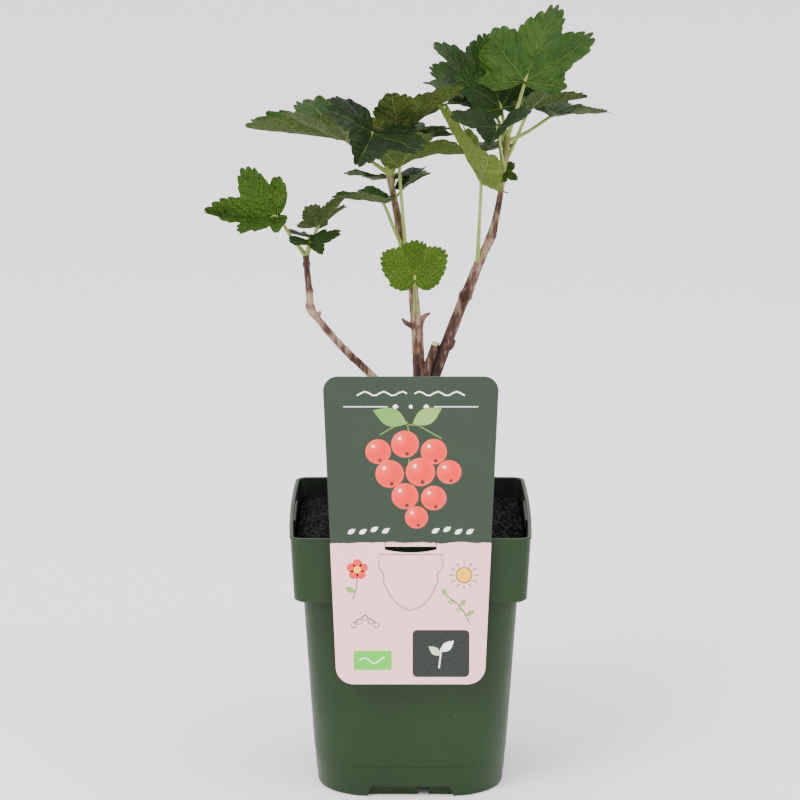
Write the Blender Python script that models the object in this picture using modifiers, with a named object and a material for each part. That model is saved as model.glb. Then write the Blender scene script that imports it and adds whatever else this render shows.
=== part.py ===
"""A young red currant bush in a square nursery pot, with its hanging picture label.

Metres, +Z up, origin under the middle of the pot. The label hangs on the -Y side.
"""

import math
from collections import namedtuple

import bmesh
import bpy
from mathutils import Matrix, Vector, noise

MM = 0.001
# Between one piece of wood or foliage and the next, in millimetres
CLEARANCE = 0.35

# Pot, in millimetres: (height, half width at mid side, corner radius) up the outside, then down inside
POT_OUTSIDE = [
    (0.0, 50.2, 29.0),
    (0.5, 51.0, 29.5),
    (1.6, 51.5, 30.0),
    (17.2, 52.3, 27.5),
    (17.8, 52.8, 27.5),
    (60.0, 55.3, 19.0),
    (111.8, 58.2, 11.0),
    (112.0, 61.9, 7.5),
    (113.0, 62.9, 7.0),
    (146.2, 64.6, 6.0),
    (146.9, 65.0, 6.0),
    (147.7, 65.0, 6.0),
    (148.0, 64.6, 5.8),
]
POT_INSIDE = [
    (148.0, 63.4, 5.0),
    (147.5, 63.0, 5.0),
    (115.2, 61.2, 5.4),
    (113.8, 56.4, 9.5),
    (60.0, 53.5, 17.0),
    (9.0, 49.8, 25.0),
]
POT_RECESS = [(6.5, 46.6, 26.5), (0.0, 47.2, 27.0)]
POT_BULGE = 1.2
NOTCH_TOP_WIDTH = 42.0
NOTCH_FOOT_WIDTH = 46.0
NOTCH_HEIGHT = 6.0
# The cross-shaped foot under the floor, with a drain channel let into each arm's end
FOOT_ARM_HALF_WIDTH = 21.0
FOOT_ARM_REACH = 45.9
DRAIN_CHANNEL = (3.9, 10.2)
DRAIN_CHANNEL_DEPTH = 24.0
DRAIN_HOLE_REACH = (-42.0, -30.0)
STACKING_PAD_LENGTH = 40.0
STACKING_PAD_HEIGHTS = (139.6, 146.0)

# Soil, in millimetres, within the inside of the pot
SOIL_SECTIONS = [
    (9.4, 48.6, 24.4),
    (60.0, 52.4, 16.6),
    (113.4, 55.3, 9.2),
    (116.6, 60.2, 5.2),
    (137.0, 61.3, 5.0),
]
SOIL_RINGS = [0.9, 0.72, 0.5, 0.26]
SOIL_TOP = 138.4
SOIL_ROUGHNESS = 1.3

# Label, in millimetres
LABEL_BACK = -69.2
LABEL_THICKNESS = 0.9
LABEL_BOTTOM = 70.0
LABEL_TOP = 237.0
LABEL_TOP_WIDTH = 91.0
LABEL_FOOT_WIDTH = 79.0
LABEL_CORNER_TOP = 7.5
LABEL_CORNER_FOOT = 9.5
SLOT_HALF_WIDTH = 13.6
SLOT_BOTTOM = 142.2
SLOT_TOP = 148.2
STRAP_HALF_WIDTH = 14.0
STRAP_THICKNESS = 0.9
STRAP_LEVEL = 148.4
STRAP_ROOT_HALF_WIDTH = 13.2
STRAP_ROOT_BOTTOM = 145.4
STRAP_INNER_FACE = -61.5
STRAP_END = 140.2
TONGUE_SHOULDER = 16.5
TONGUE_TIP = 111.0
TONGUE_GROOVE = 0.35

# Wood, in millimetres: (x, y, z, radius), from the foot to the tip
Bough = namedtuple("Bough", "path colour")
BOUGHS = {
    "main_stem": Bough(
        [(0.5, 2, 138.9, 6.4), (0.8, 2, 142, 5.0), (3.0, 2, 168, 4.6), (4.4, 1, 196, 4.4), (4.6, 0, 222, 3.4),
         (3.6, 0, 246, 3.2), (3.4, 0, 249, 3.7), (2.8, 0, 253, 3.0), (0.8, 1, 274, 2.6),
         (-1.2, 1.3, 281, 2.5)],
        (0.20, 0.14, 0.11),
    ),
    "right_stem": Bough(
        [(4.4, 0, 200, 3.0), (8.6, -0.5, 211, 3.1), (13.2, -1, 222, 3.2), (22.2, -2, 247, 3.1),
         (28.0, -2, 262, 3.0), (29.2, -2, 265, 3.8), (30.6, -2, 268, 3.0), (34.4, -2, 278, 2.8),
         (38.6, -2, 288, 2.4), (43.0, -2, 298, 2.5), (45.4, -2, 308, 1.9), (46.8, -2, 315, 1.8)],
        (0.17, 0.10, 0.07),
    ),
    "left_stem": Bough(
        [(3.6, 0, 192, 2.2), (-1.6, -1, 201, 2.2), (-9.0, -2.4, 210, 2.2), (-20.6, -4, 222, 2.1),
         (-37.7, -4, 239, 2.0), (-49.0, -3, 252.4, 1.9), (-52.4, -2.4, 256.4, 2.3)],
        (0.22, 0.17, 0.14),
    ),
    "left_branch": Bough(
        [(-52.2, -2.4, 256.2, 2.3), (-53.7, -2, 259.5, 2.4), (-53.7, -2, 262, 2.1),
         (-54.2, -1, 269, 1.8), (-55.3, 1, 279, 1.7),
         (-55.5, 1, 282, 2.0), (-55.6, 1, 284, 1.7)],
        (0.20, 0.11, 0.08),
    ),
    "cut_stub": Bough(
        [(4.6, 0, 206, 2.4), (7.0, -2.4, 217, 2.3), (8.6, -3, 224, 2.6), (13.7, -3, 240, 2.2)],
        (0.24, 0.17, 0.12),
    ),
}
# The young shoot that runs on from the end of a bough and carries its leaves
SHOOTS = {
    "main_stem": [(-5.1, 2, 296, 2.2), (-7.2, 3, 309, 2.0), (-9.4, 3.4, 320, 1.8), (-11.0, 4, 329, 1.9),
                  (-11.4, 4, 332, 1.4)],
    "right_stem": [(48.5, -2, 326.5, 1.6), (50.0, -2, 342, 1.7), (51.2, -2, 350, 2.0), (51.5, -2, 353, 1.2)],
    "left_branch": [(-55.8, 1, 287, 1.8), (-55.9, 1, 289, 1.0)],
}
# Buds and spurs: the bough, then two points with their radii
SPURS = [
    ("main_stem", (2.0, -1.0, 248.0, 1.7), (-2.4, -3.4, 251.0, 1.3)),
    ("main_stem", (-2.0, -3.2, 250.8, 1.3), (-4.6, -3.6, 253.4, 0.6)),
    ("main_stem", (4.4, -0.4, 248.0, 1.8), (7.0, -1.0, 253.4, 1.5)),
    ("main_stem", (6.6, -1.0, 253.0, 1.3), (10.4, -1.2, 255.8, 0.7)),
    ("right_stem", (18.0, -2.0, 236.6, 1.2), (21.0, -2.2, 237.6, 2.0)),
    ("right_stem", (20.6, -2.2, 237.4, 2.0), (24.0, -2.4, 241.2, 0.8)),
    ("left_stem", (-50.2, -3.0, 254.0, 1.6), (-48.0, -3.6, 257.2, 0.8)),
    ("left_branch", (-54.2, -1.6, 266.0, 1.4), (-51.8, -2.0, 269.0, 0.7)),
]

# A leaf: the bough it grows from, the height of its foot, its stalk's length, bearing and rise,
# its blade's heading, pitch, roll and length in millimetres and degrees, how far its halves fold up,
# its base tucks and its tip droops, the reach of its side lobes, and how wide its lobes are in degrees
Leaf = namedtuple(
    "Leaf", "mass bough foot stalk bearing rise heading pitch roll size fold tuck droop reach width"
)
LEAVES = [
    Leaf("left_leaves", "left_branch", 286.4, 28, -154, 54, 173, -8, -47, 41, 39, 4, 38, 0.84, 50),
    Leaf("left_leaves", "left_branch", 286.0, 18, 55, 54, -30, 47, -12, 26, 16, 4, -2, 0.80, 50),
    Leaf("left_leaves", "left_branch", 286.6, 14, -78, 42, -70, -5, 6, 18, 25, 6, -12, 1.05, 55),
    Leaf("left_leaves", "left_branch", 285.6, 17, 84, 28, 80, -4, 0, 24, 12, 6, -15, 0.86, 51),
    Leaf("centre_leaves", "main_stem", 330, 30, -168, 39, 173, 6, 3, 56, 25, 6, 2, 0.86, 55),
    Leaf("centre_leaves", "main_stem", 330, 36, -110, 46, -98, -7, -25, 41, 26, 6, -20, 0.92, 58),
    Leaf("centre_leaves", "main_stem", 329, 24, -50, 76, -27, 34, -15, 48, 20, 6, 2, 0.75, 55),
    Leaf("centre_leaves", "main_stem", 328, 24, 60, 50, 24, 6, 0, 30, 20, 6, -10, 0.86, 51),
    Leaf("centre_leaves", "main_stem", 317, 11, 62, 20, 35, 25, -20, 19, 18, 6, -10, 0.86, 51),
    Leaf("centre_leaves", "main_stem", 330, 31, 95, 25, 75, 0, 0, 46, 10, 6, -15, 0.86, 51),
    Leaf("centre_leaves", "main_stem", 322, 24, 88, 3, 110, -4, 0, 34, 10, 6, -15, 0.86, 51),
    Leaf("centre_leaves", "main_stem", 286, 50, -115, 81, 6, 30, -22, 40, 20, 6, -40, 0.80, 51),
    Leaf("centre_leaves", "main_stem", 289, 32, -136, 61, 175, 10, 6, 28, 18, 6, -10, 0.80, 53),
    Leaf("low_leaf", "main_stem", 254, 35, -91, 46, 95, 70, -8, 22, 16, 6, -28, 1.00, 82),
    Leaf("right_leaves", "right_stem", 351, 32, -25, 72, 55, 55, -5, 47, 3, 55, -5, 0.95, 56),
    Leaf("right_leaves", "right_stem", 350, 21, 102, 44, 133, 62, -10, 41, 12, 30, 10, 0.85, 58),
    Leaf("right_leaves", "right_stem", 347, 36, 121, 42, 161, 49, -13, 38, 8, 10, -11, 0.98, 53),
    Leaf("right_leaves", "right_stem", 336, 33, 42, 57, -6, 16, -8, 33, 22, 6, -5, 0.90, 51),
    Leaf("right_leaves", "right_stem", 334, 34, -100, 49, -99, -10, 4, 33, 32, 4, 4, 0.95, 55),
    Leaf("right_leaves", "right_stem", 327, 6, -160, 62, -20, -10, 30, 12, 17, 4, -20, 0.90, 55),
    Leaf("right_leaves", "right_stem", 351, 36, 104, 20, 104, 18, 0, 48, 10, 8, -20, 0.86, 51),
    Leaf("right_leaves", "right_stem", 330, 29, 112, 17, 120, 0, 0, 34, 10, 6, -15, 0.86, 51),
    Leaf("right_leaves", "right_stem", 348, 39, 50, 14, 28, 2, 0, 36, 14, 6, -10, 0.86, 51),
    Leaf("long_leaf", "right_stem", 281, 51, -86, 70, -157, 58, -12, 50, 22, 20, 2, 0.72, 53),
]
LEAF_RAYS = 36
LEAF_THICKNESS = 0.7
LOBE_ANGLES = (0.0, 52.0, -52.0, 98.0, -98.0)
LOBE_POWER = 1.6
TOOTH_DEPTH = 0.07
STALK_RADII = (1.25, 0.85)
STALK_SINK = 3.0

COLOURS = {
    "pot": (0.065, 0.120, 0.058),
    "soil": (0.020, 0.014, 0.010),
    "label": (0.60, 0.50, 0.48),
    "leaf": (0.060, 0.130, 0.022),
}


def clear_scene():
    for obj in list(bpy.data.objects):
        bpy.data.objects.remove(obj, do_unlink=True)


def collection(name):
    made = bpy.data.collections.new(name)
    bpy.context.scene.collection.children.link(made)
    return made


def material(name, colour, roughness):
    made = bpy.data.materials.new(name)
    made.use_nodes = True
    shader = made.node_tree.nodes["Principled BSDF"]
    shader.inputs["Base Color"].default_value = (*colour, 1.0)
    shader.inputs["Roughness"].default_value = roughness
    shader.inputs["Metallic"].default_value = 0.0
    return made


def mesh_object(name, points, faces, home):
    """An object from points in metres, its faces turned outwards."""
    mesh = bpy.data.meshes.new(name)
    mesh.from_pydata([tuple(p) for p in points], [], faces)
    work = bmesh.new()
    work.from_mesh(mesh)
    bmesh.ops.recalc_face_normals(work, faces=work.faces)
    work.to_mesh(mesh)
    work.free()
    obj = bpy.data.objects.new(name, mesh)
    home.objects.link(obj)
    return obj


def box(name, low, high, home):
    """A box between two corners given in millimetres."""
    size = [(b - a) * MM for a, b in zip(low, high)]
    middle = [(a + b) / 2 * MM for a, b in zip(low, high)]
    mesh = bpy.data.meshes.new(name)
    work = bmesh.new()
    bmesh.ops.create_cube(work, size=1.0, matrix=Matrix.Translation(middle) @ Matrix.Diagonal((*size, 1.0)))
    work.to_mesh(mesh)
    work.free()
    obj = bpy.data.objects.new(name, mesh)
    home.objects.link(obj)
    return obj


def evaluated_mesh(obj):
    graph = bpy.context.evaluated_depsgraph_get()
    graph.update()
    return bpy.data.meshes.new_from_object(obj.evaluated_get(graph))


def curve_to_mesh(obj, home):
    """The same shape as a closed mesh, with the curve removed."""
    mesh = evaluated_mesh(obj)
    mesh.transform(obj.matrix_world)
    work = bmesh.new()
    work.from_mesh(mesh)
    bmesh.ops.remove_doubles(work, verts=work.verts, dist=1e-6)
    bmesh.ops.recalc_face_normals(work, faces=work.faces)
    work.to_mesh(mesh)
    work.free()
    name = obj.name
    bpy.data.objects.remove(obj, do_unlink=True)
    made = bpy.data.objects.new(name, mesh)
    home.objects.link(made)
    return made


def apply_modifiers(obj):
    mesh = evaluated_mesh(obj)
    obj.modifiers.clear()
    obj.data = mesh


def join_all(obj, others, solver="EXACT"):
    """One Boolean union of a collection of pieces into the object, applied, with the pieces removed."""
    pieces = bpy.data.collections.new(obj.name + "_pieces")
    for other in others:
        pieces.objects.link(other)
    union = obj.modifiers.new("join", "BOOLEAN")
    union.operation = "UNION"
    union.operand_type = "COLLECTION"
    union.collection = pieces
    union.solver = solver
    if solver == "EXACT":
        union.use_self = True
    apply_modifiers(obj)
    for other in list(others):
        bpy.data.objects.remove(other, do_unlink=True)
    bpy.data.collections.remove(pieces)


def cut(obj, cutter, home, solver="EXACT"):
    """Takes the cutter's shape out of the object for good."""
    cutter.hide_render = True
    cutter.display_type = "WIRE"
    if cutter.name not in home.objects:
        home.objects.link(cutter)
    difference = obj.modifiers.new("cut", "BOOLEAN")
    difference.operation = "DIFFERENCE"
    difference.object = cutter
    difference.solver = solver
    apply_modifiers(obj)
    bpy.data.objects.remove(cutter, do_unlink=True)


def keep_largest(obj):
    """Drops loose scraps and fills sealed hollows: only the largest connected shell stays."""
    work = bmesh.new()
    work.from_mesh(obj.data)
    bmesh.ops.dissolve_degenerate(work, dist=1e-7, edges=work.edges)
    work.faces.ensure_lookup_table()
    seen = set()
    shells = []
    for start in work.faces:
        if start.index in seen:
            continue
        shell = []
        stack = [start]
        seen.add(start.index)
        while stack:
            face = stack.pop()
            shell.append(face)
            for edge in face.edges:
                for other in edge.link_faces:
                    if other.index not in seen:
                        seen.add(other.index)
                        stack.append(other)
        shells.append(shell)
    shells.sort(key=len, reverse=True)
    scraps = [face for shell in shells[1:] for face in shell]
    bmesh.ops.delete(work, geom=scraps, context="FACES")
    work.to_mesh(obj.data)
    work.free()


def rounded_square(half, radius, z, bulge):
    """A loop of points in millimetres: rounded corners and sides that bow out by the bulge."""
    flat = half - bulge
    reach = flat - radius
    corner_steps = 5
    side_steps = 4
    loop = []
    for quarter in range(4):
        turn = Matrix.Rotation(quarter * math.pi / 2, 2)
        for step in range(corner_steps + 1):
            angle = math.radians(-45 + 90 * step / corner_steps) + math.pi / 4
            spot = Vector((reach + radius * math.cos(angle), reach + radius * math.sin(angle)))
            loop.append((turn @ spot).to_tuple())
        for step in range(1, side_steps):
            share = 1 - 2 * step / side_steps
            bow = bulge * (1 - share * share)
            loop.append((turn @ Vector((reach * share, flat + bow))).to_tuple())
    return [Vector((x, y, z)) * MM for x, y in loop]


def loft(name, loops, home):
    """A closed body through loops of equal count, with a flat cap on each end."""
    count = len(loops[0])
    points = [p for loop in loops for p in loop]
    faces = []
    for row in range(len(loops) - 1):
        for k in range(count):
            nxt = (k + 1) % count
            faces.append((row * count + k, row * count + nxt, (row + 1) * count + nxt, (row + 1) * count + k))
    faces.append(tuple(range(count))[::-1])
    faces.append(tuple((len(loops) - 1) * count + k for k in range(count)))
    return mesh_object(name, points, faces, home)


def make_pot(home, cutters):
    sections = POT_RECESS + POT_OUTSIDE + POT_INSIDE
    pot = loft("pot", [rounded_square(half, radius, z, POT_BULGE) for z, half, radius in sections], home)
    arm, reach = FOOT_ARM_HALF_WIDTH, FOOT_ARM_REACH
    pads = [
        box("foot", (-arm, -reach, 0.0), (arm, reach, 7.4), cutters),
        box("foot", (-reach, -arm, 0.0), (reach, arm, 7.4), cutters),
    ]
    for quarter in range(4):
        turn = Matrix.Rotation(quarter * math.pi / 2, 4, "Z")
        half = STACKING_PAD_LENGTH / 2
        base, top = STACKING_PAD_HEIGHTS
        pad = box("stacking_pad", (-half, -63.6, base), (half, -61.9, top), cutters)
        pad.data.transform(turn)
        pads.append(pad)
    join_all(pot, pads)
    for quarter in range(4):
        turn = Matrix.Rotation(quarter * math.pi / 2, 4, "Z")
        top = NOTCH_TOP_WIDTH / 2
        foot = NOTCH_FOOT_WIDTH / 2 + 0.7
        ends = [(-foot, -1.0), (foot, -1.0), (top, NOTCH_HEIGHT), (-top, NOTCH_HEIGHT)]
        loops = [[turn @ (Vector((x, y, z)) * MM) for x, z in ends] for y in (-60.0, -46.2)]
        cut(pot, loft("notch", loops, cutters), cutters)
        low, high = DRAIN_CHANNEL
        channel = box("drain_channel", (low, -47.0, -1.0), (high, DRAIN_CHANNEL_DEPTH - reach, 6.5), cutters)
        channel.data.transform(turn)
        cut(pot, channel, cutters)
        near, far = DRAIN_HOLE_REACH
        hole = box("drain_hole", (low + 0.5, near, 3.0), (high - 0.5, far, 12.0), cutters)
        hole.data.transform(turn)
        cut(pot, hole, cutters)
    keep_largest(pot)
    return pot


def make_soil(home):
    """The potting mix: it fills the pot to just under its rim, with a crumbly top."""
    loops = [rounded_square(half, radius, z, POT_BULGE) for z, half, radius in SOIL_SECTIONS]
    z, half, radius = SOIL_SECTIONS[-1]
    for share in SOIL_RINGS:
        ring = rounded_square(half * share, max(radius * share, 2.0), SOIL_TOP, POT_BULGE * share)
        for point in ring:
            reach = math.hypot(point.x, point.y) / MM
            calm = min(1.0, max(0.0, (reach - 14) / 14))
            point.z += SOIL_ROUGHNESS * MM * calm * noise.noise(point * 90)
        loops.append(ring)
    return loft("soil", loops, home)


def polygon_curve(name, outlines, half_depth, home):
    """A flat outline in the XY plane, with holes, given its depth."""
    data = bpy.data.curves.new(name, "CURVE")
    data.dimensions = "2D"
    data.fill_mode = "BOTH"
    data.extrude = half_depth
    for outline in outlines:
        spline = data.splines.new("POLY")
        spline.points.add(len(outline) - 1)
        for point, (x, y) in zip(spline.points, outline):
            point.co = (x * MM, y * MM, 0.0, 1.0)
        spline.use_cyclic_u = True
    obj = bpy.data.objects.new(name, data)
    home.objects.link(obj)
    return obj


def label_outline():
    """Four rounded corners of the label, wider at the top."""
    outline = []
    corners = [
        (LABEL_FOOT_WIDTH / 2, LABEL_BOTTOM, LABEL_CORNER_FOOT, -1, 1),
        (LABEL_TOP_WIDTH / 2, LABEL_TOP, LABEL_CORNER_TOP, -1, -1),
        (-LABEL_TOP_WIDTH / 2, LABEL_TOP, LABEL_CORNER_TOP, 1, -1),
        (-LABEL_FOOT_WIDTH / 2, LABEL_BOTTOM, LABEL_CORNER_FOOT, 1, 1),
    ]
    for index, (x, z, radius, inward, up) in enumerate(corners):
        start = -90 + 90 * index
        for step in range(7):
            angle = math.radians(start + 15 * step)
            across = x + inward * radius + radius * math.cos(angle)
            outline.append((across, z + up * radius + radius * math.sin(angle)))
    return outline


def slot_outline():
    """The slot's lower edge sags like a smile."""
    outline = [(SLOT_HALF_WIDTH, SLOT_TOP), (-SLOT_HALF_WIDTH, SLOT_TOP)]
    for step in range(7):
        share = step / 3 - 1
        outline.append((SLOT_HALF_WIDTH * share, SLOT_BOTTOM + 1.6 * share * share))
    return outline


def tongue_outline(inset):
    """The shield-shaped tongue below the slot, closed round under the slot."""
    shoulder = TONGUE_SHOULDER - inset
    tip = TONGUE_TIP + inset
    top = SLOT_BOTTOM - 1.2 - inset
    right = [
        (shoulder, top),
        (shoulder, 134.0),
        (shoulder - 2.6, 131.0),
        (shoulder - 2.6, 126.0),
        (6.5 - inset, 113.5 + 0.4 * inset),
        (0.0, tip),
    ]
    return right + [(-x, z) for x, z in reversed(right[:-1])]


def stand_up(obj, y):
    """Turns a flat outline from the XY plane to upright, facing -Y, with its middle at y."""
    obj.data.transform(Matrix.Translation((0, y * MM, 0)) @ Matrix.Rotation(math.pi / 2, 4, "X"))


def make_label(home, cutters):
    """A thin plastic label whose strap hooks over the rim through its slot."""
    plate = polygon_curve("label", [label_outline(), slot_outline()], LABEL_THICKNESS / 2 * MM, home)
    plate = curve_to_mesh(plate, home)
    stand_up(plate, LABEL_BACK - LABEL_THICKNESS / 2)
    level = STRAP_LEVEL
    top = level + STRAP_THICKNESS
    inner = STRAP_INNER_FACE
    strap = [
        box("strap_over", (-STRAP_HALF_WIDTH, LABEL_BACK - 0.4, level),
            (STRAP_HALF_WIDTH, inner + STRAP_THICKNESS, top), cutters),
        box("strap_down", (-STRAP_HALF_WIDTH + 0.01, inner, STRAP_END),
            (STRAP_HALF_WIDTH - 0.01, inner + STRAP_THICKNESS - 0.01, top - 0.01), cutters),
        box("strap_root", (-STRAP_ROOT_HALF_WIDTH, LABEL_BACK - 0.05, STRAP_ROOT_BOTTOM),
            (STRAP_ROOT_HALF_WIDTH, LABEL_BACK + 0.35, level + 0.4), cutters),
    ]
    join_all(plate, strap)
    groove = polygon_curve("tongue_groove", [tongue_outline(0.0), tongue_outline(0.9)], 0.5 * MM, cutters)
    groove = curve_to_mesh(groove, cutters)
    stand_up(groove, LABEL_BACK - LABEL_THICKNESS + TONGUE_GROOVE - 0.5)
    cut(plate, groove, cutters)
    keep_largest(plate)
    return plate


def smooth_path(points, spacing):
    """Points read from a smooth curve through (x, y, z, radius), about the spacing apart."""
    knots = [Vector(p) for p in points]
    knots = [2 * knots[0] - knots[1]] + knots + [2 * knots[-1] - knots[-2]]
    path = []
    for k in range(1, len(knots) - 2):
        a, b, c, d = knots[k - 1:k + 3]
        steps = max(1, round((b.xyz - c.xyz).length / spacing))
        for step in range(steps):
            t = step / steps
            path.append(0.5 * (2 * b + (c - a) * t + (2 * a - 5 * b + 4 * c - d) * t * t
                               + (3 * b - a - 3 * c + d) * t ** 3))
    path.append(knots[-2])
    return path


def tube(name, path, resolution, home, extra=0.0):
    """A tapered tube with closed ends through (x, y, z, radius) in millimetres."""
    data = bpy.data.curves.new(name, "CURVE")
    data.dimensions = "3D"
    data.bevel_depth = MM
    data.bevel_resolution = resolution
    data.use_fill_caps = True
    spline = data.splines.new("POLY")
    spline.points.add(len(path) - 1)
    for point, knot in zip(spline.points, path):
        point.co = (knot[0] * MM, knot[1] * MM, knot[2] * MM, 1.0)
        point.radius = knot[3] + extra
    obj = bpy.data.objects.new(name, data)
    home.objects.link(obj)
    return curve_to_mesh(obj, home)


def limb_cutter(name, cutters):
    """A bough swollen and lengthened by the gap, for trimming what meets it."""
    path = smooth_path(BOUGHS[name].path, 6)
    start = (path[0] - path[1]).xyz.normalized() * CLEARANCE
    end = (path[-1] - path[-2]).xyz.normalized() * CLEARANCE
    path[0] = Vector((*(path[0].xyz + start), path[0].w))
    path[-1] = Vector((*(path[-1].xyz + end), path[-1].w))
    return tube(name + "_clearance", path, 3, cutters, extra=CLEARANCE)


def shoot_path(bough):
    """The shoot starts where its bough ends."""
    return [BOUGHS[bough].path[-1]] + SHOOTS[bough]


def make_bough(name, home, cutters):
    bough = tube(name, smooth_path(BOUGHS[name].path, 6), 3, home)
    spurs = [tube("spur", [low, high], 1, cutters) for owner, low, high in SPURS if owner == name]
    if spurs:
        join_all(bough, spurs)
    keep_largest(bough)
    return bough


def foot_of(leaf):
    """The point on the bough or shoot at the height where the leaf's stalk grows."""
    path = BOUGHS[leaf.bough].path + SHOOTS[leaf.bough]
    for low, high in zip(path, path[1:]):
        if low[2] <= leaf.foot <= high[2]:
            share = (leaf.foot - low[2]) / (high[2] - low[2])
            return Vector(low[:3]).lerp(Vector(high[:3]), share)
    return Vector(path[-1][:3])


def direction(bearing, rise):
    b = math.radians(bearing)
    r = math.radians(rise)
    return Vector((math.cos(b) * math.cos(r), math.sin(b) * math.cos(r), math.sin(r)))


def lobed_reach(angle, leaf):
    """The blade's reach at an angle from its midrib, as a share of its length."""
    reach = max(0.06, 1.3 / leaf.size)
    for lobe in LOBE_ANGLES:
        off = abs((angle - lobe + 180) % 360 - 180)
        length = 1.0 if lobe == 0 else leaf.reach * (1.0 if abs(lobe) < 90 else 0.66)
        width = leaf.width * (1.0 if abs(lobe) < 90 else 0.95)
        reach = max(reach, length * (1 - min(off / width, 1) ** LOBE_POWER))
    return reach


def on_blade(leaf, across, along):
    """A point of the folded and curved blade, in millimetres about the stalk's end."""
    fold = math.radians(leaf.fold)
    curve = math.radians(leaf.droop) / leaf.size if along > 0 else math.radians(leaf.tuck) / (0.3 * leaf.size)
    curve = curve or 1e-6
    bend = curve * along
    rise = math.sin(fold) * abs(across)
    local = Vector((
        math.cos(fold) * across,
        math.sin(bend) / curve - rise * math.sin(bend),
        (1 - math.cos(bend)) / curve + rise * math.cos(bend),
    ))
    turn = (Matrix.Rotation(math.radians(leaf.heading - 90), 3, "Z")
            @ Matrix.Rotation(math.radians(leaf.pitch), 3, "X")
            @ Matrix.Rotation(math.radians(leaf.roll), 3, "Y"))
    return turn @ local


def make_leaf(leaf, cutters):
    """A lobed blade given its thickness, and its stalk, which runs on into the blade."""
    foot = foot_of(leaf)
    seat = foot + direction(leaf.bearing, leaf.rise) * leaf.stalk
    rows = [[seat]]
    for share, stride in ((0.5, 2), (1.0, 1)):
        row = []
        for ray in range(0, LEAF_RAYS, stride):
            angle = 360 * ray / LEAF_RAYS
            tooth = 1 - TOOTH_DEPTH * (ray % 2) * share
            reach = lobed_reach(angle, leaf) * share * tooth * leaf.size
            across = reach * math.sin(math.radians(angle))
            along = reach * math.cos(math.radians(angle))
            row.append(seat + on_blade(leaf, across, along))
        rows.append(row)
    points = [p * MM for row in rows for p in row]
    faces = []
    inner = LEAF_RAYS // 2
    for ray in range(inner):
        nxt = (ray + 1) % inner
        rim = 1 + inner + 2 * ray
        faces.append((0, 1 + nxt, 1 + ray))
        faces.append((1 + ray, 1 + nxt, rim + 1))
        faces.append((1 + ray, rim + 1, rim))
        faces.append((1 + nxt, 1 + inner + 2 * nxt, rim + 1))
    blade = mesh_object("blade", points, faces, cutters)
    solid = blade.modifiers.new("thickness", "SOLIDIFY")
    solid.thickness = LEAF_THICKNESS * MM
    solid.offset = 0.0
    apply_modifiers(blade)
    sink = min(STALK_SINK, leaf.size * 0.12)
    end = seat + on_blade(leaf, 0.0, sink)
    path = []
    for step in range(4):
        share = step / 3
        radius = STALK_RADII[0] + (STALK_RADII[1] - STALK_RADII[0]) * share
        if leaf.size < 20:
            radius *= 0.7
        path.append((*foot.lerp(seat, share), radius))
    path.append((*end, STALK_RADII[1] * 0.6))
    return [blade, tube("stalk", path, 1, cutters)]


def make_mass(name, home, cutters):
    """The leaves of one shoot, or one leaf on its stalk, trimmed clear of the wood that carries them."""
    leaves = [leaf for leaf in LEAVES if leaf.mass == name]
    bough = leaves[0].bough
    pieces = []
    for leaf in leaves:
        pieces += make_leaf(leaf, cutters)
    own_shoot = len(leaves) > 1
    if own_shoot:
        base = tube(name, smooth_path(shoot_path(bough), 6), 2, home)
    else:
        base = pieces.pop()
        base.name = name
        home.objects.link(base)
        cutters.objects.unlink(base)
    join_all(base, pieces, "MANIFOLD")
    cut(base, limb_cutter(bough, cutters), cutters, "MANIFOLD")
    keep_largest(base)
    return base


def main():
    clear_scene()
    bush = collection("potted_currant_bush")
    cutters = collection("cutters")
    pot = make_pot(bush, cutters)
    soil = make_soil(bush)
    label = make_label(bush, cutters)
    pot.data.materials.append(material("pot_plastic", COLOURS["pot"], 0.45))
    soil.data.materials.append(material("soil", COLOURS["soil"], 0.95))
    label.data.materials.append(material("label_card", COLOURS["label"], 0.5))
    for name, bough in BOUGHS.items():
        limb = make_bough(name, bush, cutters)
        if name in ("right_stem", "left_stem", "cut_stub"):
            cut(limb, limb_cutter("main_stem", cutters), cutters)
        if name == "cut_stub":
            cut(limb, limb_cutter("right_stem", cutters), cutters)
        if name == "left_branch":
            cut(limb, limb_cutter("left_stem", cutters), cutters)
        keep_largest(limb)
        limb.data.materials.append(material(name + "_bark", bough.colour, 0.8))
        limb.data.shade_smooth()
    for mass in dict.fromkeys(leaf.mass for leaf in LEAVES):
        foliage = make_mass(mass, bush, cutters)
        foliage.data.materials.clear()
        foliage.data.materials.append(material(mass + "_green", COLOURS["leaf"], 0.5))


main()
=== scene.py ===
"""Looks of the potted currant bush: pot, potting mix, label, bark and leaves, in metres, +Z up."""

import math
from collections import namedtuple

import bmesh
import bpy
import numpy as np
from mathutils import Matrix, Vector, noise


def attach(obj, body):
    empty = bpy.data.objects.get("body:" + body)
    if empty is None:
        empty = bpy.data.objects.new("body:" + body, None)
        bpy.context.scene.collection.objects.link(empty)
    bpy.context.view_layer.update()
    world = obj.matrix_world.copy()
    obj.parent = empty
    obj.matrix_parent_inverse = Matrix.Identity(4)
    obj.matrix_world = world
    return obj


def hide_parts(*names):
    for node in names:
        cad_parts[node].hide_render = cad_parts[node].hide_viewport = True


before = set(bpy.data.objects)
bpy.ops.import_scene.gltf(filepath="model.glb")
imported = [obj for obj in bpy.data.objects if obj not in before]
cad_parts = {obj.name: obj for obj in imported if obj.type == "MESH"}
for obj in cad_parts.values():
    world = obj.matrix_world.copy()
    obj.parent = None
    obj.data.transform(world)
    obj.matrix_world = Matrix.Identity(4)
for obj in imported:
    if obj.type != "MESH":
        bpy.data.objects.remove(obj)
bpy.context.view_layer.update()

MM = 0.001

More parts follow.
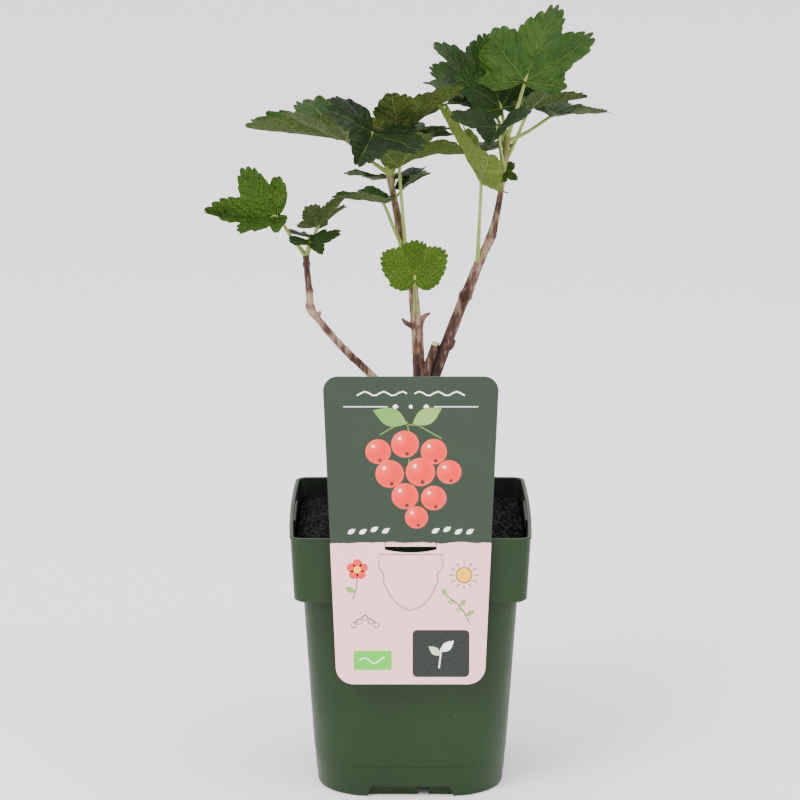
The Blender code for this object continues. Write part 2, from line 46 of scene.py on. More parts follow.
# Pot. One moulded piece of dark green plastic, a little dusty, with a stepped collar, stacking pads inside
# the rim, notches and drain channels in the foot. Heights, half widths and corner radii are in millimetres.

POT_SECTIONS = [
    (6.5, 46.6, 26.5), (0.0, 47.2, 27.0), (0.0, 50.2, 29.0), (0.5, 51.0, 29.5), (1.6, 51.5, 30.0),
    (17.2, 52.3, 27.5), (17.8, 52.8, 27.5), (60.0, 55.3, 19.0), (111.8, 58.2, 11.0), (112.0, 61.9, 7.5),
    (113.0, 62.9, 7.0), (146.2, 64.6, 6.0), (146.9, 65.0, 6.0), (147.7, 65.0, 6.0), (148.0, 64.6, 5.8),
    (148.0, 63.4, 5.0), (147.5, 63.0, 5.0), (115.2, 61.2, 5.4), (113.8, 56.4, 9.5), (60.0, 53.5, 17.0),
    (9.0, 49.8, 25.0),
]
POT_BULGE = 1.2
POT_COLOUR = (25, 48, 17)
POT_SHADE = (22, 43, 15)
POT_DUST = (76, 90, 64)
# Painted shade: the dark colour of the inner wall under the rim
POT_INNER_SHADE = (9, 11, 8)


def srgb(colour):
    """An 8-bit screen colour as the linear values that a shader takes."""
    return tuple((c / 255 / 12.92) if c <= 10 else ((c / 255 + 0.055) / 1.055) ** 2.4 for c in colour)


def new_material(name, roughness, specular=0.5):
    made = bpy.data.materials.new(name)
    made.use_nodes = True
    shader = made.node_tree.nodes["Principled BSDF"]
    shader.inputs["Roughness"].default_value = roughness
    shader.inputs["Specular IOR Level"].default_value = specular
    return made, made.node_tree, shader


def calc(tree, operation, *values, clamp=False):
    """One sum in a material; each value is a number or a socket."""
    node = tree.nodes.new("ShaderNodeMath")
    node.operation = operation
    node.use_clamp = clamp
    for socket, value in zip(node.inputs, values):
        if isinstance(value, (int, float)):
            socket.default_value = value
        else:
            tree.links.new(value, socket)
    return node.outputs[0]


def ease(tree, value, low, high):
    """0 below low and 1 above high, eased between; low may be the larger."""
    node = tree.nodes.new("ShaderNodeMapRange")
    node.interpolation_type = "SMOOTHSTEP"
    flip = low > high
    node.inputs["From Min"].default_value = min(low, high)
    node.inputs["From Max"].default_value = max(low, high)
    node.inputs["To Min"].default_value = 1.0 if flip else 0.0
    node.inputs["To Max"].default_value = 0.0 if flip else 1.0
    tree.links.new(value, node.inputs["Value"])
    return node.outputs["Result"]


def place(tree, scale=(1, 1, 1)):
    """The object's own coordinates, stretched."""
    coords = tree.nodes.new("ShaderNodeTexCoord")
    mapping = tree.nodes.new("ShaderNodeMapping")
    mapping.inputs["Scale"].default_value = scale
    tree.links.new(coords.outputs["Object"], mapping.inputs["Vector"])
    return mapping.outputs["Vector"]


def grain(tree, vector, scale, detail=4.0, rough=0.55):
    node = tree.nodes.new("ShaderNodeTexNoise")
    node.inputs["Scale"].default_value = scale
    node.inputs["Detail"].default_value = detail
    node.inputs["Roughness"].default_value = rough
    tree.links.new(vector, node.inputs["Vector"])
    return node.outputs["Fac"]


def cells(tree, vector, scale, feature="F1"):
    node = tree.nodes.new("ShaderNodeTexVoronoi")
    node.feature = feature
    node.inputs["Scale"].default_value = scale
    tree.links.new(vector, node.inputs["Vector"])
    return node.outputs["Distance"]


def ramp(tree, factor, *stops):
    """Colours along a factor: (place, screen colour), two or more."""
    node = tree.nodes.new("ShaderNodeValToRGB")
    points = node.color_ramp.elements
    while len(points) < len(stops):
        points.new(0.5)
    for point, (where, colour) in zip(points, stops):
        point.position = where
        point.color = (*srgb(colour), 1.0)
    tree.links.new(factor, node.inputs["Fac"])
    return node.outputs["Color"]


def mix(tree, factor, first, second):
    """Two colours mixed; each is a socket or a screen colour."""
    node = tree.nodes.new("ShaderNodeMix")
    node.data_type = "RGBA"
    tree.links.new(factor, node.inputs[0])
    for socket, colour in ((node.inputs[6], first), (node.inputs[7], second)):
        if isinstance(colour, tuple):
            socket.default_value = (*srgb(colour), 1.0)
        else:
            tree.links.new(colour, socket)
    return node.outputs[2]


def relief(tree, shader, height, strength, depth_mm):
    node = tree.nodes.new("ShaderNodeBump")
    node.inputs["Strength"].default_value = strength
    node.inputs["Distance"].default_value = depth_mm * MM
    tree.links.new(height, node.inputs["Height"])
    tree.links.new(node.outputs["Normal"], shader.inputs["Normal"])


def pot_material():
    made, tree, shader = new_material("pot_plastic", 0.5, 0.25)
    where = place(tree)
    shade = ramp(tree, grain(tree, where, 22, 5), (0.35, POT_SHADE), (0.65, POT_COLOUR))
    specks = ease(tree, cells(tree, where, 95), 0.09, 0.03)
    patchy = ease(tree, grain(tree, where, 40, 2), 0.52, 0.66)
    dusty = calc(tree, "MULTIPLY", calc(tree, "MULTIPLY", specks, patchy), 0.5)
    # Painted shade: the inner wall under the rim is darkened, in uneven patches, for the shade that falls
    # inside the pot
    inner_shade = tree.nodes.new("ShaderNodeAttribute")
    inner_shade.attribute_name = "inner_shade"
    patches = ease(tree, grain(tree, where, 70, 5), 0.3, 0.6)
    inside = calc(tree, "MULTIPLY", inner_shade.outputs["Fac"], calc(tree, "MULTIPLY_ADD", patches, 0.3, 0.7))
    inner_shaded = mix(tree, inside, mix(tree, dusty, shade, POT_DUST), POT_INNER_SHADE)
    tree.links.new(inner_shaded, shader.inputs["Base Color"])
    rough = calc(tree, "MULTIPLY_ADD", grain(tree, where, 60, 3), 0.2, 0.36)
    tree.links.new(rough, shader.inputs["Roughness"])
    relief(tree, shader, grain(tree, where, 900, 3), 0.12, 0.1)
    return made


def rounded_square(half, radius, z, bulge, corner_steps, side_steps):
    """A loop in millimetres: rounded corners, and sides that bow out by the bulge."""
    flat = half - bulge
    reach = flat - radius
    loop = []
    for quarter in range(4):
        turn = Matrix.Rotation(quarter * math.pi / 2, 2)
        for step in range(corner_steps + 1):
            angle = math.pi / 2 * step / corner_steps
            spot = Vector((reach + radius * math.cos(angle), reach + radius * math.sin(angle)))
            loop.append((*(turn @ spot), z))
        for step in range(1, side_steps):
            share = 1 - 2 * step / side_steps
            loop.append((*(turn @ Vector((reach * share, flat + bulge * (1 - share * share)))), z))
    return loop


def mesh_object(name, points, faces, materials):
    """A mesh from points in millimetres, with its faces turned outwards."""
    mesh = bpy.data.meshes.new(name)
    mesh.from_pydata([(x * MM, y * MM, z * MM) for x, y, z in points], [], faces)
    for made in materials:
        mesh.materials.append(made)
    work = bmesh.new()
    work.from_mesh(mesh)
    bmesh.ops.recalc_face_normals(work, faces=work.faces)
    work.to_mesh(mesh)
    work.free()
    obj = bpy.data.objects.new(name, mesh)
    bpy.context.scene.collection.objects.link(obj)
    return obj


def loft(name, loops, materials):
    count = len(loops[0])
    points = [p for loop in loops for p in loop]
    faces = []
    for row in range(len(loops) - 1):
        for k in range(count):
            nxt = (k + 1) % count
            faces.append((row * count + k, row * count + nxt, (row + 1) * count + nxt, (row + 1) * count + k))
    faces.append(tuple(range(count))[::-1])
    faces.append(tuple((len(loops) - 1) * count + k for k in range(count)))
    return mesh_object(name, points, faces, materials)


def box(name, low, high, turn=0):
    corners = [(x, y, z) for z in (low[2], high[2]) for y in (low[1], high[1]) for x in (low[0], high[0])]
    faces = [(0, 1, 3, 2), (4, 5, 7, 6), (0, 1, 5, 4), (2, 3, 7, 6), (0, 2, 6, 4), (1, 3, 7, 5)]
    made = mesh_object(name, corners, faces, [])
    made.data.transform(Matrix.Rotation(turn * math.pi / 2, 4, "Z"))
    return made


def settle(obj):
    """The mesh with its modifiers applied."""
    graph = bpy.context.evaluated_depsgraph_get()
    graph.update()
    mesh = bpy.data.meshes.new_from_object(obj.evaluated_get(graph))
    obj.modifiers.clear()
    obj.data = mesh


def combine(obj, others, operation):
    for other in others:
        change = obj.modifiers.new("change", "BOOLEAN")
        change.operation = operation
        change.object = other
    settle(obj)
    for other in others:
        bpy.data.objects.remove(other, do_unlink=True)


def smooth(obj, degrees):
    obj.data.shade_smooth()
    obj.data.set_sharp_from_angle(angle=math.radians(degrees))


def finished(obj, slot, *nodes):
    """The piece rides on the one body and stands for its CAD nodes; the slot is not used."""
    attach(obj, "root")
    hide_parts(*nodes)
    return obj


def mark_inner_shade(pot):
    """Marks the inner wall under the rim, where shade is painted on as a darker colour."""
    marks = pot.data.attributes.new("inner_shade", "FLOAT", "POINT")
    for polygon in pot.data.polygons:
        inward = polygon.normal.x * polygon.center.x + polygon.normal.y * polygon.center.y < -0.02
        for index in polygon.vertices:
            height = pot.data.vertices[index].co.z
            if inward and 0.1 < height < 0.1478:
                marks.data[index].value = 1.0


def make_pot():
    loops = [rounded_square(half, radius, z, POT_BULGE, 12, 12) for z, half, radius in POT_SECTIONS]
    pot = loft("pot_shell", loops, [pot_material()])
    added = [
        box("foot", (-21, -45.9, 0.0), (21, 45.9, 7.4)),
        box("foot", (-45.9, -21, 0.01), (45.9, 21, 7.39)),
    ]
    taken = []
    for turn in range(4):
        added.append(box("pad", (-20, -63.6, 139.6), (20, -61.9, 146), turn))
        taken.append(box("channel", (3.9, -47, -1), (10.2, -21.9, 6.5), turn))
        taken.append(box("hole", (4.4, -42, 3), (9.7, -30, 12), turn))
        ends = [(-23.7, -1), (23.7, -1), (21, 6), (-21, 6)]
        notch = loft("notch", [[(x, y, z) for x, z in ends] for y in (-60, -46.2)], [])
        notch.data.transform(Matrix.Rotation(turn * math.pi / 2, 4, "Z"))
        taken.append(notch)
    combine(pot, added, "UNION")
    combine(pot, taken, "DIFFERENCE")
    smooth(pot, 32)
    mark_inner_shade(pot)
    return finished(pot, "pot_plastic", "pot")


make_pot()

# Potting mix. Dark moist peat with fibres and crumbs, filled to a centimetre under the rim.

SOIL_SECTIONS = [
    (9.4, 48.6, 24.4), (60.0, 52.4, 16.6), (113.4, 55.3, 9.2), (116.6, 60.2, 5.2), (136.4, 61.4, 5.0),
]
SOIL_TOP = 137.9
SOIL_RINGS = 44
SOIL_DARK = (6, 5, 4)
SOIL_MIDDLE = (15, 12, 9)
SOIL_LIGHT = (26, 21, 15)


def soil_material():
    made, tree, shader = new_material("potting_mix", 0.95, 0.2)
    where = place(tree)
    clumps = grain(tree, where, 260, 6, 0.7)
    colour = ramp(tree, clumps, (0.38, SOIL_DARK), (0.62, SOIL_MIDDLE), (0.78, SOIL_LIGHT))
    tree.links.new(colour, shader.inputs["Base Color"])
    relief(tree, shader, grain(tree, where, 700, 6, 0.7), 0.8, 0.6)
    return made


def make_soil():
    loops = [rounded_square(half, radius, z, POT_BULGE, 8, 16) for z, half, radius in SOIL_SECTIONS]
    z, half, radius = SOIL_SECTIONS[-1]
    for step in range(1, SOIL_RINGS):
        share = 1 - step / SOIL_RINGS
        ring = []
        corner = max(radius * share, 0.5 * share)
        for x, y, _ in rounded_square(half * share, corner, 0, POT_BULGE * share, 8, 16):
            spot = Vector((x, y, 0))
            bumps = 1.6 * noise.noise(spot * 0.09) + 0.9 * noise.noise(spot * 0.33)
            bumps += 0.5 * noise.noise(spot * 0.9)
            ring.append((x, y, SOIL_TOP + bumps))
        loops.append(ring)
    return loft("potting_mix", loops, [soil_material()])


def scatter_nodes(ground, crumb_material):
    """Crumbs on every upward face above the ground's own sides: points, small stones, real geometry."""
    group = bpy.data.node_groups.new("crumbs", "GeometryNodeTree")
    group.interface.new_socket("Geometry", in_out="INPUT", socket_type="NodeSocketGeometry")
    group.interface.new_socket("Geometry", in_out="OUTPUT", socket_type="NodeSocketGeometry")
    density = group.interface.new_socket("Density", in_out="INPUT", socket_type="NodeSocketFloat")
    new = group.nodes.new
    link = group.links.new
    source, out = new("NodeGroupInput"), new("NodeGroupOutput")
    normal, split = new("GeometryNodeInputNormal"), new("ShaderNodeSeparateXYZ")
    over = new("FunctionNodeCompare")
    over.inputs["B"].default_value = 0.6
    points = new("GeometryNodeDistributePointsOnFaces")
    points.inputs["Seed"].default_value = 5
    crumb = new("GeometryNodeMeshIcoSphere")
    crumb.inputs["Radius"].default_value = 1.0
    crumb.inputs["Subdivisions"].default_value = 1
    size, turn = new("FunctionNodeRandomValue"), new("FunctionNodeRandomValue")
    size.data_type = turn.data_type = "FLOAT_VECTOR"
    size.inputs[0].default_value = (0.0004, 0.0003, 0.0003)
    size.inputs[1].default_value = (0.0022, 0.0014, 0.0010)
    turn.inputs[1].default_value = (6.28, 6.28, 6.28)
    stones = new("GeometryNodeInstanceOnPoints")
    real, painted = new("GeometryNodeRealizeInstances"), new("GeometryNodeSetMaterial")
    painted.inputs["Material"].default_value = crumb_material
    link(normal.outputs[0], split.inputs[0])
    link(split.outputs["Z"], over.inputs["A"])
    link(source.outputs["Geometry"], points.inputs["Mesh"])
    link(source.outputs["Density"], points.inputs["Density"])
    link(over.outputs["Result"], points.inputs["Selection"])
    link(points.outputs["Points"], stones.inputs["Points"])
    link(crumb.outputs["Mesh"], stones.inputs["Instance"])
    link(size.outputs[0], stones.inputs["Scale"])
    link(turn.outputs[0], stones.inputs["Rotation"])
    link(stones.outputs["Instances"], real.inputs["Geometry"])
    link(real.outputs["Geometry"], painted.inputs["Geometry"])
    link(painted.outputs["Geometry"], out.inputs[0])
    return group, density.identifier


def make_crumbs(ground):
    crumbs = bpy.data.objects.new("soil_crumbs", ground.data)
    bpy.context.scene.collection.objects.link(crumbs)
    group, density = scatter_nodes(ground, ground.data.materials[0])
    change = crumbs.modifiers.new("crumbs", "NODES")
    change.node_group = group
    change[density] = 160000.0
    settle(crumbs)
    return crumbs


soil = make_soil()
crumbs = make_crumbs(soil)
smooth(soil, 180)
finished(soil, "potting_mix", "soil")
finished(crumbs, "potting_mix", "soil")

# Label. A thin printed plastic card, wider at the top, with a die-cut tongue; its strap hooks over the rim.
# The print is a generic fruit design: green above, pink below, berries, small line drawings, no lettering.

LABEL_BACK = -69.2
LABEL_FRONT = -70.0
LABEL_LOW, LABEL_HIGH = 70.0, 237.0
LABEL_HALF_LOW, LABEL_HALF_HIGH = 39.5, 45.5
LABEL_GREEN = (29, 47, 29)
LABEL_PINK = (255, 196, 198)
LABEL_SPLIT = 147.6
INK_WHITE = (255, 255, 252)
# Painted shadow: the colour of the dark line along the tongue's die cut
TONGUE_CUT_SHADOW = (120, 88, 88)
INK_DARK = (14, 12, 12)
BADGE_GREEN = (7, 17, 12)
SWATCH_GREEN = (76, 190, 40)
STEM_GREEN = (90, 124, 40)


def label_material():
    made, tree, shader = new_material("label_plastic", 0.38, 0.4)
    coords = place(tree)
    split = tree.nodes.new("ShaderNodeSeparateXYZ")
    tree.links.new(coords, split.inputs[0])
    torn = calc(tree, "MULTIPLY_ADD", grain(tree, coords, 90, 5, 0.6), 0.0042, -0.0021)
    edge = calc(tree, "ADD", split.outputs["Z"], torn)
    upper = ease(tree, edge, (LABEL_SPLIT - 0.15) * MM, (LABEL_SPLIT + 0.15) * MM)
    paper = ramp(tree, grain(tree, coords, 150, 4), (0.3, (250, 188, 188)), (0.7, LABEL_PINK))
    green = ramp(tree, grain(tree, coords, 60, 4), (0.3, (27, 44, 27)), (0.7, LABEL_GREEN))
    tree.links.new(mix(tree, upper, paper, green), shader.inputs["Base Color"])
    relief(tree, shader, grain(tree, coords, 300, 2), 0.05, 0.1)
    return made


def ink_material():
    """Print whose colour is stored on its points."""
    made, tree, shader = new_material("label_ink", 0.38, 0.4)
    tint = tree.nodes.new("ShaderNodeAttribute")
    tint.attribute_name = "tint"
    fibre = ease(tree, grain(tree, place(tree), 900, 3), 0.3, 0.9)
    worn = calc(tree, "MULTIPLY", fibre, 0.02)
    tree.links.new(mix(tree, worn, tint.outputs["Color"], (255, 250, 245)), shader.inputs["Base Color"])
    return made


def arc_points(cx, cz, radius, start, end, steps):
    angles = [math.radians(start + (end - start) * k / steps) for k in range(steps + 1)]
    return [(cx + radius * math.cos(a), cz + radius * math.sin(a)) for a in angles]


def flat_plate(name, outlines, middle, thickness, materials):
    """An upright plate facing -Y from (x, z) outlines; the later outlines are holes."""
    data = bpy.data.curves.new(name, "CURVE")
    data.dimensions = "2D"
    data.fill_mode = "BOTH"
    data.extrude = thickness / 2 * MM
    for outline in outlines:
        spline = data.splines.new("POLY")
        spline.points.add(len(outline) - 1)
        for point, (x, z) in zip(spline.points, outline):
            point.co = (x * MM, z * MM, 0.0, 1.0)
        spline.use_cyclic_u = True
    obj = bpy.data.objects.new(name, data)
    bpy.context.scene.collection.objects.link(obj)
    graph = bpy.context.evaluated_depsgraph_get()
    graph.update()
    mesh = bpy.data.meshes.new_from_object(obj.evaluated_get(graph))
    bpy.data.objects.remove(obj, do_unlink=True)
    mesh.transform(Matrix.Translation((0, middle * MM, 0)) @ Matrix.Rotation(math.pi / 2, 4, "X"))
    work = bmesh.new()
    work.from_mesh(mesh)
    bmesh.ops.remove_doubles(work, verts=work.verts, dist=1e-6)
    bmesh.ops.recalc_face_normals(work, faces=work.faces)
    work.to_mesh(mesh)
    work.free()
    mesh.materials.clear()
    for made in materials:
        mesh.materials.append(made)
    plate = bpy.data.objects.new(name, mesh)
    bpy.context.scene.collection.objects.link(plate)
    return plate


def tongue(inset):
    shoulder, top = 16.5 - inset, 141.0 - inset
    right = [(shoulder, top), (shoulder, 134), (shoulder - 2.6, 131), (shoulder - 2.6, 126)]
    right += [(10.6 - inset, 119), (6.5 - inset, 113.9 + 0.4 * inset), (3.0, 112.0 + inset), (0, 111 + inset)]
    return right + [(-x, z) for x, z in reversed(right[:-1])]


def make_card():
    outline = arc_points(LABEL_HALF_LOW - 9.5, LABEL_LOW + 9.5, 9.5, -90, 0, 12)
    outline += arc_points(LABEL_HALF_HIGH - 7.5, LABEL_HIGH - 7.5, 7.5, 0, 90, 12)
    outline += [(-x, z) for x, z in reversed(outline)]
    slot = [(13.6, 148.2), (-13.6, 148.2)]
    slot += [(13.6 * share, 142.2 + 1.6 * share * share) for share in np.linspace(-1, 1, 15).tolist()]
    middle = (LABEL_BACK + LABEL_FRONT) / 2
    card = flat_plate("label_card", [outline, slot], middle, LABEL_BACK - LABEL_FRONT, [label_material()])
    strap = [
        box("over", (-14, LABEL_BACK - 0.4, 148.4), (14, -60.6, 149.3)),
        box("down", (-13.99, -61.5, 140.2), (13.99, -60.61, 149.29)),
        box("root", (-13.2, LABEL_BACK - 0.05, 145.4), (13.2, LABEL_BACK + 0.35, 148.8)),
    ]
    combine(card, strap, "UNION")
    groove = flat_plate("groove", [tongue(0.0), tongue(0.5)], LABEL_FRONT - 0.3, 1.2, [])
    combine(card, [groove], "DIFFERENCE")
    smooth(card, 30)
    return finished(card, "label_plastic", "label")


class Print:
    """Flat inked shapes just proud of the card, each a front and a rim, with a colour on every point."""

    def __init__(self):
        self.points, self.faces, self.tints = [], [], []

    def shape(self, outline, tint, level=1):
        front = LABEL_FRONT - 0.009 * level
        start, count = len(self.points), len(outline)
        self.points += [(x, front, z) for x, z in outline] + [(x, LABEL_FRONT + 0.1, z) for x, z in outline]
        self.faces.append(tuple(start + k for k in range(count)))
        for k in range(count):
            nxt = (k + 1) % count
            self.faces.append((start + k, start + count + k, start + count + nxt, start + nxt))
        self.tints += [tint] * (2 * count)

    def disc(self, cx, cz, radius, tint, level=1):
        self.shape(arc_points(cx, cz, radius, 0, 350, 35), tint, level)

    def line(self, spots, width, tint, level=1, closed=False):
        """A line of even width through (x, z) spots."""
        spots = [Vector(s) for s in spots]
        sides = []
        for k, spot in enumerate(spots):
            before = spots[k - 1] if k or closed else spot
            after = spots[(k + 1) % len(spots)] if k + 1 < len(spots) or closed else spot
            way = (after - before).normalized()
            sides.append(Vector((-way.y, way.x)) * width / 2)
        ends = len(spots) if closed else len(spots) - 1
        for k in range(ends):
            n = (k + 1) % len(spots)
            quad = [spots[k] + sides[k], spots[k] - sides[k], spots[n] - sides[n], spots[n] + sides[n]]
            self.shape([tuple(q) for q in quad], tint, level)

    def berry(self, cx, cz, radius, level):
        """A shaded round currant with a bright edge, a highlight and a dry calyx."""
        rings, rays = 7, 36
        front = LABEL_FRONT - 0.009 * level
        start = len(self.points)
        for ring in range(rings + 1):
            r = radius * ring / rings
            for ray in range(rays):
                a = 2 * math.pi * ray / rays
                x, z = r * math.cos(a), r * math.sin(a)
                lit = max(0.0, 1 - math.hypot(x + 0.35 * radius, z - 0.35 * radius) / (0.75 * radius))
                rim = (ring / rings) ** 5
                pale = min(1.0, 0.75 * lit + 0.5 * rim)
                deep = max(0.0, 1 - math.hypot(x - 0.2 * radius, z + 0.1 * radius) / radius)
                tint = tuple(v0 + (v1 - v0) * pale for v0, v1 in zip((232, 22 - 14 * deep, 8), (255, 96, 86)))
                self.points.append((cx + x, front, cz + z))
                self.tints.append(tint)
        for ring in range(rings):
            for ray in range(rays):
                nxt = (ray + 1) % rays
                a, b = start + ring * rays, start + (ring + 1) * rays
                self.faces.append((a + ray, b + ray, b + nxt, a + nxt))
        self.disc(cx + 0.15 * radius, cz - 0.72 * radius, 0.14 * radius, (64, 34, 14), level + 0.3)
        self.disc(cx - 0.38 * radius, cz + 0.42 * radius, 0.13 * radius, (255, 226, 222), level + 0.3)

    def leaf(self, cx, cz, length, turn, tint, level=1):
        """A pointed oval leaf."""
        a = math.radians(turn)
        way, side = Vector((math.cos(a), math.sin(a))), Vector((-math.sin(a), math.cos(a)))
        edge = [k / 10 for k in range(11)]
        half = [(t, 0.3 * math.sin(math.pi * t) * (1 - 0.3 * t)) for t in edge]
        outline = half + [(t, -w) for t, w in reversed(half[1:-1])]
        spots = [Vector((cx, cz)) + way * t * length + side * w * length for t, w in outline]
        self.shape([tuple(spot) for spot in spots], tint, level)

    def build(self):
        obj = mesh_object("label_print", self.points, self.faces, [ink_material()])
        tint = obj.data.color_attributes.new("tint", "FLOAT_COLOR", "POINT")
        tint.data.foreach_set("color", [v for t in self.tints for v in (*srgb(t), 1.0)])
        return finished(obj, "label_plastic", "label")


BERRIES = [(-17, 197, 6.6), (-3, 201, 7.2), (12, 197, 6.8), (-11, 185, 7.4), (5, 186, 7.6), (20, 186, 6.4),
           (-3, 173, 7.0), (12, 172, 6.6), (3, 161.5, 6.0)]

TWIG_LEAVES = [(29, 108, 30), (28, 110, 160), (25.5, 113, 45), (24, 115, 170), (19, 118.5, 120)]


def make_print():
    ink = Print()
    ink.line([(-16, 206), (-6, 212), (4, 211), (16, 204)], 0.7, STEM_GREEN, 1)
    ink.line([(-2, 213), (0, 202), (-1, 190), (2, 176), (3, 165)], 0.7, STEM_GREEN, 1)
    ink.leaf(-2, 212, 19, 158, (104, 146, 62), 2)
    ink.leaf(1, 212, 17, 28, (124, 160, 74), 2)
    for index, (x, z, r) in enumerate(BERRIES):
        ink.disc(x + 0.7, z - 0.8, r, (34, 46, 34), 2.9 + 0.75 * index)
        ink.berry(x, z, r, 3.2 + 0.75 * index)
    for side in (-1, 1):
        for k in range(4):
            ink.leaf(side * (13 + 6 * k) - 2, 153 + 0.8 * math.sin(k * 1.9), 4.8, 32, INK_WHITE, 1)
        ink.line([(side * 35, 221), (side * 12, 221)], 0.45, INK_WHITE, 1)
        ink.shape([(side * 8, 219.6), (side * 9.6, 221), (side * 8, 222.4), (side * 6.4, 221)], INK_WHITE, 1)
        ink.line([(side * (2 + 2 * k), 228 + 1.1 * math.sin(k * 1.3)) for k in range(14)], 0.7, INK_WHITE, 1)
    ink.disc(0, 221, 1.0, INK_WHITE, 1)
    # Painted shadow: a dark line along the die-cut tongue stands for the shade in the cut
    ink.line(tongue(-0.35), 0.45, TONGUE_CUT_SHADOW, 1, closed=True)
    # A sun over a budding twig at the right
    ink.line(arc_points(28, 130, 4.2, 0, 350, 35), 0.45, INK_DARK, 2, closed=True)
    ink.disc(28, 130, 4.1, (250, 186, 34), 1)
    for k in range(12):
        a = math.radians(30 * k)
        ink.line([(28 + r * math.cos(a), 130 + r * math.sin(a)) for r in (5.4, 7.6)], 0.5, INK_DARK, 1)
    ink.line([(31, 104), (28, 110), (24, 115), (19, 118.5)], 0.5, INK_DARK, 1)
    for k, (x, z, turn) in enumerate(TWIG_LEAVES):
        ink.leaf(x, z, 5.4, turn, (168, 190, 110) if k % 2 else (128, 166, 78), 1)
    # A flower and a row of budding rings at the left
    for k in range(5):
        a = math.radians(72 * k + 18)
        ink.disc(-28 + 3.4 * math.cos(a), 133 + 3.4 * math.sin(a), 2.4, (230, 40, 30), 1)
    ink.disc(-28, 133, 1.9, (250, 200, 50), 2)
    ink.line([(-28, 129), (-28.4, 123), (-30.5, 117)], 0.5, INK_DARK, 1)
    ink.leaf(-29, 121, 6, 160, (116, 164, 66), 1)
    ink.line([(-30, 104), (-24, 108), (-18, 104)], 0.45, INK_DARK, 1)
    for x, z in ((-30, 102.6), (-27, 104.6), (-24, 106.6), (-21, 104.6), (-18, 102.6)):
        ink.line(arc_points(x, z, 1.4, 0, 345, 23), 0.4, INK_DARK, 1, closed=True)
    # A dark badge with a seedling, and a bright patch with a wave
    badge = arc_points(28.5, 76.5, 2.5, -90, 0, 6) + arc_points(28.5, 97.5, 2.5, 0, 90, 6)
    badge += arc_points(3.5, 97.5, 2.5, 90, 180, 6) + arc_points(3.5, 76.5, 2.5, 180, 270, 6)
    ink.shape(badge, BADGE_GREEN, 1)
    ink.line([(15, 79), (15.8, 86), (16, 90)], 0.7, INK_WHITE, 2)
    ink.leaf(16, 88, 9, 42, INK_WHITE, 2)
    ink.leaf(15.8, 86, 8, 142, (196, 216, 176), 2)
    ink.shape([(-30, 78), (-10, 78), (-10, 88.5), (-30, 88.5)], SWATCH_GREEN, 1)
    ink.line([(-27 + 1.5 * k, 83.2 + 1.6 * math.sin(k * 0.9)) for k in range(10)], 0.6, INK_WHITE, 2)
    return ink.build()


make_card()
make_print()

# Wood. Woody stems with thin flaking grey-brown bark over darker red-brown, ringed at the nodes, with short
# spurs and dry buds, and an old pruned stub. Paths are (x, y, z, radius) in millimetres, foot to tip.

BOUGHS = {
    "main_stem": [(0.5, 2, 138.9, 6.4), (0.8, 2, 142, 5.0), (3.0, 2, 168, 4.6), (4.4, 1, 196, 4.4),
                  (4.6, 0, 222, 3.4), (3.6, 0, 246, 3.2), (3.4, 0, 249, 3.7), (2.8, 0, 253, 3.0),
                  (0.8, 1, 274, 2.6), (-1.2, 1.3, 281, 2.5)],
    "right_stem": [(4.4, 0, 200, 3.0), (8.6, -0.5, 211, 3.1), (13.2, -1, 222, 3.2), (22.2, -2, 247, 3.1),
                   (28.0, -2, 262, 3.0), (29.2, -2, 265, 3.8), (30.6, -2, 268, 3.0), (34.4, -2, 278, 2.8),
                   (38.6, -2, 288, 2.4), (43.0, -2, 298, 2.5), (45.4, -2, 308, 1.9), (46.8, -2, 315, 1.8)],
    "left_stem": [(3.6, 0, 192, 2.2), (-1.6, -1, 201, 2.2), (-9.0, -2.4, 210, 2.2), (-20.6, -4, 222, 2.1),
                  (-37.7, -4, 239, 2.0), (-49.0, -3, 252.4, 1.9), (-52.4, -2.4, 256.4, 2.3)],
    "left_branch": [(-52.2, -2.4, 256.2, 2.3), (-53.7, -2, 259.5, 2.4), (-53.7, -2, 262, 2.1),
                    (-54.2, -1, 269, 1.8), (-55.3, 1, 279, 1.7), (-55.5, 1, 282, 2.0), (-55.6, 1, 284, 1.7)],
    "cut_stub": [(4.6, 0, 206, 2.4), (7.0, -2.4, 217, 2.3), (8.6, -3, 224, 2.6), (13.7, -3, 240, 2.2)],
}
# The young shoot that runs on from the end of a bough and carries its leaves
SHOOTS = {
    "main_stem": [(-1.2, 1.3, 281, 2.5), (-5.1, 2, 296, 2.2), (-7.2, 3, 309, 2.0), (-9.4, 3.4, 320, 1.8),
                  (-11.0, 4, 329, 1.9), (-11.4, 4, 332, 1.4)],
    "right_stem": [(46.8, -2, 315, 1.8), (48.5, -2, 326.5, 1.6), (50.0, -2, 342, 1.7), (51.2, -2, 350, 2.0),
                   (51.5, -2, 353, 1.2)],
    "left_branch": [(-55.6, 1, 284, 1.7), (-55.8, 1, 287, 1.8), (-55.9, 1, 289, 1.0)],
}
SPURS = [
    ("main_stem", (2.0, -1.0, 248.0, 1.7), (-2.4, -3.4, 251.0, 1.3), (-4.6, -3.6, 253.4, 0.5)),
    ("main_stem", (4.4, -0.4, 248.0, 1.8), (7.0, -1.0, 253.4, 1.5), (10.4, -1.2, 255.8, 0.6)),
    ("right_stem", (18.0, -2.0, 236.6, 1.2), (21.2, -2.2, 237.8, 2.0), (24.0, -2.4, 241.2, 0.6)),
    ("left_stem", (-50.2, -3.0, 254.0, 1.6), (-49.0, -3.4, 255.8, 1.3), (-48.0, -3.6, 257.2, 0.6)),
    ("left_branch", (-54.2, -1.6, 266.0, 1.4), (-52.8, -1.8, 267.8, 1.1), (-51.8, -2.0, 269.0, 0.5)),
]
